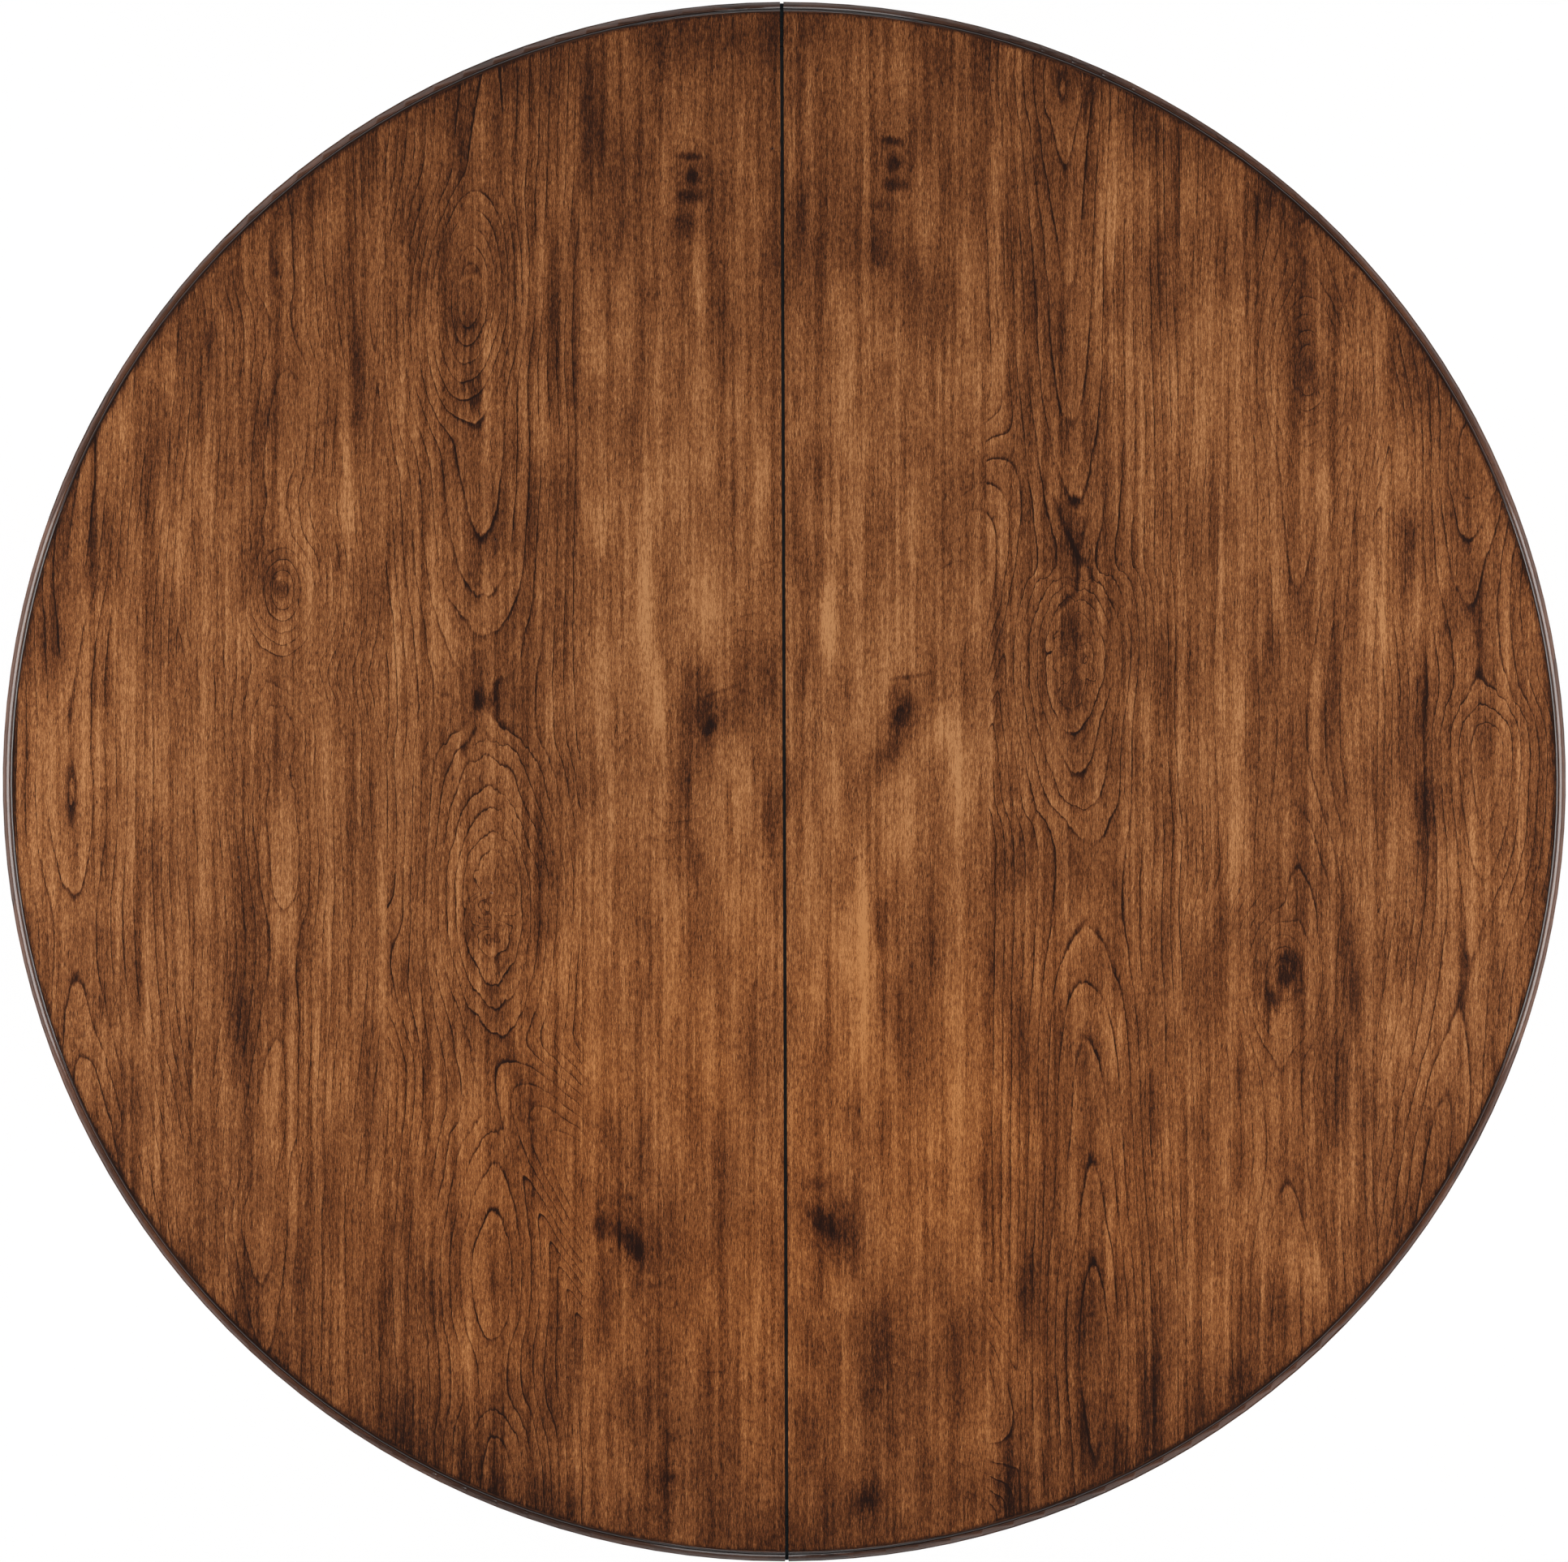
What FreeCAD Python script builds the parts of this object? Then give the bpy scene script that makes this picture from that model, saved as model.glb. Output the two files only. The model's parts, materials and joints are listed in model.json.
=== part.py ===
"""Round pedestal dining table that opens on two geared slides.

Millimetres, +Z up. The origin is on the floor under the middle of the column. The seam between the two
halves of the top runs along Y, and the halves slide apart along X.
"""
import FreeCAD, Part
import math
import operator
import os
from types import SimpleNamespace

import Sketcher

SIZES = {
    # The table as a whole
    "table_height": 762,
    "top_radius": 686,
    "top_thickness": 32,
    "seam_gap": 3,
    "half_travel": 229,
    # Clearances
    "fit_clearance": 0.05,
    "running_clearance": 0.05,
    "slide_clearance": 0.5,
    "pin_clearance": 0.3,
    "part_clearance": 0.3,
    "rod_clearance": 0.5,
    "rail_headroom": 1.5,
    "rail_lift": 1,
    "hole_overrun": 1,
    # Veneer, seam lip and moulded edge of the top
    "veneer_thickness": 0.8,
    "veneer_inner_width": 177,
    "veneer_leaf_width": 171,
    "seam_lip_thickness": 4,
    "lap_lift": 0.5,
    "lap_height": 6.5,
    "lap_nose_inset": 0.6,
    "lap_rim_wall": 0.9,
    "lap_overlap": 3,
    "lap_end_gap": 1.2,
    "dust_bead_depth": 3,
    "dust_bead_height": 5,
    "lipping_width": 40,
    "arris_radius": 3,
    "quirk_depth": 1.4,
    "quirk_width": 0.8,
    "ovolo_width": 5.4,
    "ovolo_height": 6,
    "ovolo_swell": 1,
    "nose_radius": 0.8,
    "nose_height": 6,
    "cove_width": 13,
    "cove_depth": 4,
    # Apron and its glue blocks
    "apron_inset": 62,
    "apron_thickness": 20,
    "apron_height": 68,
    "apron_bead_height": 9,
    "apron_bead_reach": 3.2,
    "block_depth": 28,
    "block_height": 40,
    "block_turn": 6,
    "block_middle_angle": 40,
    "block_end_angle": 75,
    # Slides
    "slide_spacing": 400,
    "centre_rail_height": 40.5,
    "centre_rail_length": 760,
    "moving_rail_width": 32,
    "moving_rail_tail": 26,
    "moving_rail_end_gap": 30,
    "tongue_depth": 7,
    "tongue_root_height": 9,
    "tongue_tip_height": 13,
    "tongue_drop": 15.5,
    # Racks and pinions
    "gear_module": 2,
    "pressure_angle": 20,
    "gear_backlash": 0.4,
    "gear_root_clearance": 0.5,
    "rack_height": 10,
    "rack_lift": 1,
    "rack_back": 5,
    "rack_face_gap": 1,
    "rack_stop": 4,
    "rack_tip_clearance": 1,
    "pinion_end_clearance": 0.5,
    "pinion_boss_radius": 8,
    "gear_slot_clearance": 1.5,
    "gear_slot_headroom": 1,
    "axle_radius": 4,
    "axle_seat": 8,
    "axle_rail_depth": 15,
    # Top plate
    "plate_margin": 33,
    "plate_thickness": 24,
    "plate_corner": 40,
    "plate_chamfer": 5,
    # Wood screws
    "rail_screw_radius": 2.5,
    "rail_screw_head_radius": 5,
    "rail_screw_head_height": 3,
    "rail_screw_recess": 18,
    "rail_screw_first": 60,
    "rail_screw_end": 60,
    "screw_bite": 18,
    "plate_screw_reach": 40,
    "plate_screw_inner": 70,
    "plate_screw_end": 40,
    "capital_screw_reach": 38,
    "capital_screw_place_radius": 85,
    "small_screw_radius": 1.75,
    "small_screw_head_radius": 3.5,
    "small_screw_head_height": 2,
    "small_screw_bite": 12,
    # Alignment pins and bushes
    "pin_radius": 5,
    "pin_reach": 20,
    "pin_depth": 30,
    "pin_nose": 2,
    "pin_inner_place": 110,
    "pin_edge_margin": 216,
    "bush_wall": 2.2,
    "bush_length": 24,
    # Swing locks
    "lock_edge_margin": 124,
    "lock_pivot_setback": 33.5,
    "lock_keeper_setback": 28.5,
    "lock_plate_thickness": 2,
    "lock_plate_width": 48,
    "lock_plate_length": 60,
    "lock_screw_angle": 52,
    "lock_screw_place_radius": 26,
    "lock_pivot_radius": 4,
    "lock_pivot_head_radius": 8,
    "lock_pivot_head_height": 2.5,
    "lever_thickness": 4,
    "lever_width": 14,
    "lever_hub_radius": 12,
    "lever_handle": 42,
    "lever_tab_height": 12,
    "lever_tab_thickness": 4,
    "lever_swing": 75,
    "hook_jaw": 4.5,
    "hook_clearance": 0.6,
    "hook_lead_angle": 5,
    "hook_slot_angle": 5,
    "hook_back_angle": 11,
    "hook_neck": 14,
    "keeper_post_radius": 4,
    "keeper_post_length": 8,
    "keeper_head_radius": 7,
    "keeper_head_height": 2.5,
    "keeper_plate_back": 10,
    "keeper_plate_front": 22,
    "keeper_plate_length": 44,
    "keeper_screw_spread": 14,
    # Column capital
    "capital_height": 44,
    "capital_radius": 120,
    "capital_rim": 10,
    "capital_fillet": 4,
    "capital_neck_radius": 64,
    "capital_bead_height": 12,
    "capital_bead_reach": 5,
    "capital_step": 6,
    "capital_cove_depth": 9,
    # Column shaft
    "shaft_top_radius": 60,
    "shaft_top_rim": 10,
    "shaft_top_cove_depth": 4,
    "shaft_neck_radius": 48,
    "shaft_neck_drop": 44,
    "shaft_neck_bead_height": 12,
    "shaft_neck_bead_reach": 4.5,
    "shaft_belly_radius": 98,
    "shaft_belly_rise": 118,
    "shaft_vase_foot_radius": 56,
    "shaft_bead_radius": 62,
    "shaft_bead_height": 14,
    "shaft_bead_reach": 5,
    "shaft_cove_height": 20,
    "shaft_cove_depth": 3.5,
    "shaft_plinth_radius": 78,
    "shaft_plinth_height": 8,
    "top_spigot_radius": 30,
    "top_spigot_length": 28,
    "foot_spigot_depth": 30,
    # Column collar
    "collar_height": 20,
    "collar_radius": 83,
    "collar_bead_height": 14,
    "collar_bead_reach": 6,
    "collar_step": 3,
    # Leg hub
    "hub_bottom": 110,
    "hub_height": 175,
    "hub_flat": 85,
    "hub_wall": 40,
    "hub_chamfer": 6,
    "hub_plate_radius": 74,
    "hub_plate_thickness": 5,
    # Legs: step out from the station before, rise of the middle line over the glides, depth, width and dip
    "leg_root_trim": 4,
    "leg_root_width": 62,
    "leg_knee_step": 70,
    "leg_knee_rise": 191,
    "leg_knee_depth": 122,
    "leg_knee_width": 60,
    "leg_knee_dip": 16,
    "leg_shin_step": 115,
    "leg_shin_rise": 128,
    "leg_shin_depth": 78,
    "leg_shin_width": 52,
    "leg_shin_dip": 40,
    "leg_ankle_step": 95,
    "leg_ankle_rise": 56,
    "leg_ankle_depth": 50,
    "leg_ankle_width": 48,
    "leg_ankle_dip": 32,
    "leg_foot_step": 65,
    "leg_foot_sink": 3,
    "leg_foot_depth": 54,
    "leg_foot_width": 62,
    "leg_foot_dip": 4,
    "leg_toe_step": 43,
    "leg_toe_depth": 34,
    "leg_toe_width": 44,
    "leg_toe_round": 8,
    "leg_corner": 10,
    "leg_first_angle": 45,
    # Hanger bolts, tie rod and glides
    "bolt_radius": 4,
    "bolt_leg_depth": 60,
    "bolt_tail": 3,
    "bolt_low_margin": 45,
    "bolt_high_margin": 50,
    "bolt_washer_radius": 9,
    "bolt_washer_thickness": 1.6,
    "bolt_nut_corner": 7.5,
    "bolt_nut_height": 6.5,
    "rod_radius": 6,
    "rod_tail": 5,
    "rod_washer_radius": 18,
    "rod_washer_thickness": 2.5,
    "rod_nut_corner": 11,
    "rod_nut_height": 10,
    "glide_height": 8,
    "glide_radius": 20,
    "glide_round": 3,
    "tack_radius": 2,
    "tack_length": 18,
}

# A multiple of four, so that both racks meet a tooth of the pinion at rest
PINION_TEETH = 20

OPERATIONS = {"+": operator.add, "-": operator.sub, "*": operator.mul, "/": operator.truediv}
# Half of the turn from one flat of an octagon to the next, in degrees
HALF_FLAT_TURN = 22.5
AXES = {"x": FreeCAD.Vector(1, 0, 0), "y": FreeCAD.Vector(0, 1, 0), "z": FreeCAD.Vector(0, 0, 1)}


class Size:
    """A length or angle with its number and the sheet formula that gives it."""

    def __init__(self, number, formula):
        self.number = float(number)
        self.formula = formula

    def __add__(self, other):
        return combine(self, "+", other)

    def __radd__(self, other):
        return combine(other, "+", self)

    def __sub__(self, other):
        return combine(self, "-", other)

    def __rsub__(self, other):
        return combine(other, "-", self)

    def __mul__(self, other):
        return combine(self, "*", other)

    def __rmul__(self, other):
        return combine(other, "*", self)

    def __truediv__(self, other):
        return combine(self, "/", other)

    def __neg__(self):
        return combine(0, "-", self)


def as_size(value):
    """Gives a plain number the same form as a size from the sheet."""
    if isinstance(value, Size):
        return value
    return Size(value, f"({value})")


def combine(first, sign, second):
    """Works out a formula and its number together."""
    left = as_size(first)
    right = as_size(second)
    number = OPERATIONS[sign](left.number, right.number)
    return Size(number, f"({left.formula} {sign} {right.formula})")


def square_root(value):
    """The square root of a size."""
    return Size(math.sqrt(value.number), f"sqrt({value.formula})")


def cosine(angle):
    """The cosine of an angle in degrees."""
    angle = as_size(angle)
    return Size(math.cos(math.radians(angle.number)), f"cos({angle.formula} * 1 deg)")


def sine(angle):
    """The sine of an angle in degrees."""
    angle = as_size(angle)
    return Size(math.sin(math.radians(angle.number)), f"sin({angle.formula} * 1 deg)")


def bead_radius(chord, reach):
    """The radius of an arc that spans a chord and stands out from it by a reach."""
    return (chord * chord / 4 + reach * reach) / (2 * reach)


def curve_radius(start, finish, depth):
    """The radius of an arc between two points that bows from the straight line by a depth."""
    across = finish[0] - start[0]
    along = finish[1] - start[1]
    return bead_radius(square_root(across * across + along * along), depth)


def polar(radius, angle):
    """A point at a radius and an angle in degrees."""
    return radius * cosine(angle), radius * sine(angle)


doc = FreeCAD.newDocument("pedestal_table")
sheet = doc.addObject("Spreadsheet::Sheet", "sizes")
for row, (size_name, size_number) in enumerate(SIZES.items(), start=1):
    sheet.set(f"A{row}", size_name)
    sheet.set(f"B{row}", str(size_number))
    sheet.setAlias(f"B{row}", size_name)
doc.recompute()
s = SimpleNamespace(**{name: Size(number, f"sizes.{name}") for name, number in SIZES.items()})
nodes = []

# Levels and radii that several pieces share
top_underside = s.table_height - s.top_thickness
veneer_level = s.table_height - s.veneer_thickness
panel_radius = s.top_radius - s.lipping_width
moulding_width = s.arris_radius + s.quirk_width + s.ovolo_width + s.nose_radius
veneer_radius = s.top_radius - moulding_width
half_gap = s.seam_gap / 2
lap_bottom = top_underside + s.lap_lift
lap_top = lap_bottom + s.lap_height
lap_reach = s.seam_gap + s.seam_lip_thickness - s.part_clearance
dust_bead_top = s.table_height - s.dust_bead_depth
dust_bead_bottom = dust_bead_top - s.dust_bead_height
dust_bead_reach = s.seam_gap - s.part_clearance
rail_top = top_underside - s.rail_headroom
plate_top = rail_top - s.centre_rail_height
plate_bottom = plate_top - s.plate_thickness
slide_place = s.slide_spacing / 2
pitch_radius = s.gear_module * PINION_TEETH / 2
rack_tip = pitch_radius - s.gear_module
rack_root = pitch_radius + s.gear_module + s.gear_root_clearance
rack_rear = rack_root + s.rack_back
centre_rail_face = rack_tip - s.rack_face_gap
plate_half = slide_place + centre_rail_face + s.plate_margin
apron_outer = s.top_radius - s.apron_inset
apron_inner = apron_outer - s.apron_thickness
plate_screw_outer = plate_half - s.plate_screw_end
moving_rail_bottom = plate_top + s.rail_lift
moving_rail_face = centre_rail_face + s.slide_clearance
moving_rail_back = moving_rail_face + s.moving_rail_width
tongue_level = top_underside - s.tongue_drop
rack_bottom = moving_rail_bottom + s.rack_lift
rack_top = rack_bottom + s.rack_height
moving_rail_inner_end = s.half_travel + s.moving_rail_tail
outermost_face = slide_place + moving_rail_back
apron_span = square_root(apron_inner * apron_inner - outermost_face * outermost_face)
moving_rail_outer_end = apron_span - s.moving_rail_end_gap
rail_screw_pitch = (moving_rail_outer_end - s.rail_screw_first - s.rail_screw_end) / 2
rail_screw_line = (rack_rear + moving_rail_back) / 2
rail_screw_seat = moving_rail_bottom + s.rail_screw_recess
gear_slot_top = rack_top + s.gear_slot_headroom
pin_level = (top_underside + veneer_level) / 2
pin_outer_place = panel_radius - s.pin_edge_margin
bush_bore = s.pin_radius + s.pin_clearance
bush_radius = bush_bore + s.bush_wall
block_level = top_underside - s.block_height
block_middle_radius = apron_inner - s.block_depth / 2
lock_place = apron_inner - s.lock_edge_margin
lock_plate_level = top_underside - s.lock_plate_thickness
lever_top = lock_plate_level - s.part_clearance
lever_bottom = lever_top - s.lever_thickness
pivot_head_top = lever_bottom - s.part_clearance
pivot_place = -(half_gap + s.lock_pivot_setback)
keeper_place = half_gap + s.lock_keeper_setback
hook_radius = s.lock_pivot_setback + s.seam_gap + s.lock_keeper_setback
hub_top = s.hub_bottom + s.hub_height
hub_inner_flat = s.hub_flat - s.hub_wall
shaft_bottom = hub_top + s.collar_height
shaft_top = plate_bottom - s.capital_height
rod_bore = s.rod_radius + s.rod_clearance
spigot_radius = hub_inner_flat - s.fit_clearance
hub_plate_bottom = s.hub_bottom - s.hub_plate_thickness
leg_shin_reach = s.leg_knee_step + s.leg_shin_step
leg_ankle_reach = leg_shin_reach + s.leg_ankle_step
leg_foot_reach = leg_ankle_reach + s.leg_foot_step
leg_toe_reach = leg_foot_reach + s.leg_toe_step
leg_angles = [s.leg_first_angle + 90 * quarter for quarter in range(4)]


# Drawing helpers

def new_sketch(body, name, role, offset=None):
    """Starts a sketch on one of a body's own planes, at an offset along its normal."""
    sketch = body.newObject("Sketcher::SketchObject", name)
    plane = next(feature for feature in body.Origin.OriginFeatures if feature.Role == role)
    sketch.AttachmentSupport = [(plane, "")]
    sketch.MapMode = "FlatFace"
    if offset is not None:
        sketch.setExpression(".AttachmentOffset.Base.z", offset.formula)
    return sketch


def fix_point(sketch, item, end, x, y):
    """Ties a point of the sketch to its place from the origin."""
    for kind, value, axis in (("DistanceX", x, -2), ("DistanceY", y, -1)):
        place = as_size(value)
        if place.number == 0 and not isinstance(value, Size):
            sketch.addConstraint(Sketcher.Constraint("PointOnObject", item, end, axis))
        else:
            index = sketch.addConstraint(Sketcher.Constraint(kind, -1, 1, item, end, place.number))
            sketch.setExpression(f"Constraints[{index}]", place.formula)


def arc_side(start, finish, radius, outwards):
    """An arc of under a half circle from start to finish, with the outline's inside on the left."""
    chord = finish - start
    middle = (start + finish) * 0.5
    left = FreeCAD.Vector(-chord.y, chord.x, 0)
    left.normalize()
    depth = math.sqrt(max(radius * radius - chord.Length ** 2 / 4, 0))
    centre = middle + left * (depth if outwards else -depth)
    circle = Part.Circle(centre, AXES["z"], radius)
    first, last = (start, finish) if outwards else (finish, start)
    first_angle = math.atan2(first.y - centre.y, first.x - centre.x)
    last_angle = math.atan2(last.y - centre.y, last.x - centre.x)
    return Part.ArcOfCircle(circle, first_angle, last_angle)


def draw_outline(sketch, points):
    """Draws a closed outline, anticlockwise. A point is (x, y), or (x, y, way, radius) where the side
    that leaves it is an arc that swells "out" of the outline or sinks "in" to it."""
    corners = [FreeCAD.Vector(as_size(point[0]).number, as_size(point[1]).number, 0) for point in points]
    sides = []
    for place, point in enumerate(points):
        start = corners[place]
        finish = corners[(place + 1) % len(points)]
        if len(point) == 2:
            item = sketch.addGeometry(Part.LineSegment(start, finish), False)
            sides.append((item, 1, 2))
        else:
            outwards = point[2] == "out"
            item = sketch.addGeometry(arc_side(start, finish, point[3].number, outwards), False)
            sides.append((item, 1, 2) if outwards else (item, 2, 1))
    for place, point in enumerate(points):
        item, first, last = sides[place]
        next_item, next_first, _ = sides[(place + 1) % len(points)]
        sketch.addConstraint(Sketcher.Constraint("Coincident", item, last, next_item, next_first))
        fix_point(sketch, item, first, point[0], point[1])
        if len(point) > 2:
            index = sketch.addConstraint(Sketcher.Constraint("Radius", item, point[3].number))
            sketch.setExpression(f"Constraints[{index}]", point[3].formula)


def draw_circle(sketch, x, y, radius):
    """Draws a circle about a tied centre."""
    centre = FreeCAD.Vector(as_size(x).number, as_size(y).number, 0)
    item = sketch.addGeometry(Part.Circle(centre, AXES["z"], radius.number), False)
    fix_point(sketch, item, 3, x, y)
    index = sketch.addConstraint(Sketcher.Constraint("Radius", item, radius.number))
    sketch.setExpression(f"Constraints[{index}]", radius.formula)


def rectangle(low_x, high_x, low_y, high_y):
    """The four corners of a rectangle, for an outline."""
    return [(low_x, low_y), (high_x, low_y), (high_x, high_y), (low_x, high_y)]


def new_body(name):
    """Starts a solid under its own name."""
    body = doc.addObject("PartDesign::Body", name)
    body.Label = name
    return body


def pad(body, sketch, length, midplane=False, backwards=False):
    """Raises a sketch along its normal."""
    feature = body.newObject("PartDesign::Pad", sketch.Name + "_pad")
    feature.Profile = sketch
    feature.setExpression("Length", length.formula)
    feature.Midplane = midplane
    feature.Reversed = backwards
    return feature


def pocket(body, sketch, depth, midplane=False):
    """Cuts a sketch into its body along the sketch's normal, and makes sure that it cut something."""
    doc.recompute()
    before = body.Shape.Volume
    feature = body.newObject("PartDesign::Pocket", sketch.Name + "_pocket")
    feature.Profile = sketch
    feature.setExpression("Length", depth.formula)
    feature.Midplane = midplane
    feature.Reversed = True
    doc.recompute()
    if body.Shape.Volume >= before:
        raise RuntimeError(f"{sketch.Name} cuts nothing")
    return feature


def turn(body, points, half=False):
    """Turns an outline of (radius, level) points about the body's Z axis, all round or over the +X half."""
    sketch = new_sketch(body, body.Name + "_profile", "XZ_Plane")
    draw_outline(sketch, points)
    feature = body.newObject("PartDesign::Revolution", body.Name + "_turned")
    feature.Profile = sketch
    feature.ReferenceAxis = (sketch, ["V_Axis"])
    feature.Angle = 180 if half else 360
    feature.Midplane = half
    return body


def bevel(body, base, length, wanted):
    """Chamfers the edges of a feature that the test picks."""
    doc.recompute()
    names = [f"Edge{place}" for place, edge in enumerate(base.Shape.Edges, start=1) if wanted(edge)]
    feature = body.newObject("PartDesign::Chamfer", body.Name + "_chamfer")
    feature.Base = (base, names)
    feature.setExpression("Size", length.formula)


def edge_at_level(edge, level):
    """Says whether an edge lies flat at a level."""
    box = edge.BoundBox
    return abs(box.ZMin - level) < 1e-6 and abs(box.ZMax - level) < 1e-6


def place(item, x=0, y=0, z=0, rotation=None):
    """Puts an object where the sheet's formulas say."""
    if rotation is not None:
        item.Placement = FreeCAD.Placement(FreeCAD.Vector(), rotation)
    for axis, value in zip("xyz", (x, y, z)):
        if isinstance(value, Size):
            item.setExpression(f".Placement.Base.{axis}", value.formula)


def place_half(item, side, shift=0):
    """Puts a piece drawn for the right half, with the seam at x = 0, on its own half."""
    if side == "right":
        place(item, half_gap, as_size(shift))
    else:
        place(item, -half_gap, -as_size(shift), 0, FreeCAD.Rotation(AXES["z"], 180))


def group(name, master, spots):
    """Repeats one piece at each spot, (x, y, z) with a rotation where it needs one."""
    links = []
    for number, spot in enumerate(spots):
        link = doc.addObject("App::Link", f"{name}_{number}")
        link.LinkedObject = master
        place(link, *spot)
        links.append(link)
    compound = doc.addObject("Part::Compound", name)
    compound.Label = name
    compound.Links = links
    return compound


def drilled(name, blank, *holes):
    """Cuts groups of holes out of a blank, one after another."""
    item = blank
    for number, hole in enumerate(holes, start=1):
        cut = doc.addObject("Part::Cut", name if number == len(holes) else f"{name}_step_{number}")
        cut.Base = item
        cut.Tool = hole
        item = cut
    item.Label = name
    return item


def keep(item):
    """Adds a finished piece to the nodes that are written."""
    nodes.append(item)
    return item


def hole_rod(name, radius, low, high):
    """A plain round cutter along Z."""
    return turn(new_body(name), [(0, low), (radius, low), (radius, high), (0, high)])


def screw(name, radius, head_radius, head_height, reach):
    """A round-headed wood screw that points up, with the seat of its head at z = 0."""
    return turn(new_body(name), [
        (0, -head_height),
        (head_radius - head_height / 2, -head_height),
        (head_radius, -(head_height / 2)),
        (head_radius, 0 * head_height),
        (radius, 0 * head_height),
        (radius, reach - 2 * radius),
        (0, reach),
    ])


def washer(name, bore, radius, thickness):
    """A flat ring on z = 0."""
    return turn(new_body(name), rectangle(bore, radius, 0, thickness))


def nut(name, bore, corner, height):
    """A hexagon nut on z = 0."""
    hexagon = doc.addObject("Part::Prism", name + "_hexagon")
    hexagon.Polygon = 6
    hexagon.setExpression("Circumradius", corner.formula)
    hexagon.setExpression("Height", height.formula)
    thread = doc.addObject("Part::Cylinder", name + "_thread")
    thread.setExpression("Radius", bore.formula)
    thread.setExpression("Height", height.formula)
    cut = doc.addObject("Part::Cut", name)
    cut.Base = hexagon
    cut.Tool = thread
    return cut


POINT_DOWN = FreeCAD.Rotation(AXES["x"], 180)
POINT_ALONG_X = FreeCAD.Rotation(AXES["y"], 90)


# Top: panel, veneer, seam lip and moulded edge

def pin_spots():
    """Where the alignment pins cross the seam."""
    places = (-pin_outer_place, -s.pin_inner_place, s.pin_inner_place, pin_outer_place)
    return [(across, pin_level) for across in places]


def pin_holes(body, radius, depth):
    """Bores the alignment holes into the seam side of a piece of the right half."""
    sketch = new_sketch(body, body.Name + "_pin_holes", "YZ_Plane")
    for across, level in pin_spots():
        draw_circle(sketch, across, level, radius)
    pocket(body, sketch, depth)


def rail_screw_spots():
    """Seats of the screws that hold the moving rails of the right half to its panel."""
    spots = []
    for unit in (-slide_place, slide_place):
        for step in range(3):
            along = s.rail_screw_first + step * rail_screw_pitch
            spots.append((along, unit + rail_screw_line, rail_screw_seat))
    return spots


def block_angles():
    """Angles of the glue blocks round the right half of the apron."""
    return [-s.block_end_angle, -s.block_middle_angle, as_size(0), s.block_middle_angle, s.block_end_angle]


def block_screw_spots():
    """Seats of the screws under the glue blocks of the right half."""
    return [(*polar(block_middle_radius, angle), block_level) for angle in block_angles()]


def lock_screw_spots():
    """Seats of the lock plate's screws, from the lock's pivot."""
    x, y = polar(s.lock_screw_place_radius, s.lock_screw_angle)
    return [(x, y), (-x, -y)]


def keeper_screw_spots():
    """Seats of the keeper's screws, from the keeper's post."""
    return [(s.keeper_screw_spread, -s.keeper_screw_spread), (s.keeper_screw_spread, s.keeper_screw_spread)]


def lock_places():
    """Where the two locks stand along the seam."""
    return [-lock_place, lock_place]


def hardware_spots(side):
    """Holes for the lock screws in a panel, from the seam side of the right half."""
    spots = []
    for along in lock_places():
        if side == "right":
            spots += [(s.lock_keeper_setback + x, along + y) for x, y in keeper_screw_spots()]
        else:
            spots += [(s.lock_pivot_setback - x, -along - y) for x, y in lock_screw_spots()]
    return spots


def pivot_hole_spots():
    """Holes for the lock pivots in the left panel, drawn as for the right half."""
    return [(s.lock_pivot_setback, -along) for along in lock_places()]


def top_panel(side):
    """Core board of one half, with its holes for pins, bushes and screws."""
    name = f"{side}_top_panel"
    body = new_body(name + "_board")
    reach = square_root(panel_radius * panel_radius - s.seam_lip_thickness * s.seam_lip_thickness)
    sketch = new_sketch(body, name + "_outline", "XY_Plane", top_underside)
    draw_outline(sketch, [
        (s.seam_lip_thickness, -reach, "out", panel_radius),
        (s.seam_lip_thickness, reach),
    ])
    pad(body, sketch, veneer_level - top_underside)
    if side == "right":
        pin_holes(body, bush_radius + s.fit_clearance, s.bush_length)
    else:
        pin_holes(body, s.pin_radius + s.fit_clearance, s.pin_depth)
    bite = s.screw_bite + s.hole_overrun
    hole = hole_rod(name + "_screw_hole", s.rail_screw_radius + s.fit_clearance, 0 * bite, bite)
    spots = [(x, y, top_underside) for x, y, _ in rail_screw_spots() + block_screw_spots()]
    large_holes = group(name + "_screw_holes", hole, spots)
    bite = s.small_screw_bite + s.hole_overrun
    hole = hole_rod(name + "_small_hole", s.small_screw_radius + s.fit_clearance, 0 * bite, bite)
    spots = [(x, y, top_underside) for x, y in hardware_spots(side)]
    small_holes = group(name + "_small_holes", hole, spots)
    holes = [large_holes, small_holes]
    if side == "left":
        hole = hole_rod(name + "_pivot_hole", s.rail_screw_radius + s.fit_clearance, 0 * bite, bite)
        spots = [(x, y, top_underside) for x, y in pivot_hole_spots()]
        holes.append(group(name + "_pivot_holes", hole, spots))
    panel = drilled(name, body, *holes)
    place_half(panel, side)
    keep(panel)


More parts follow.
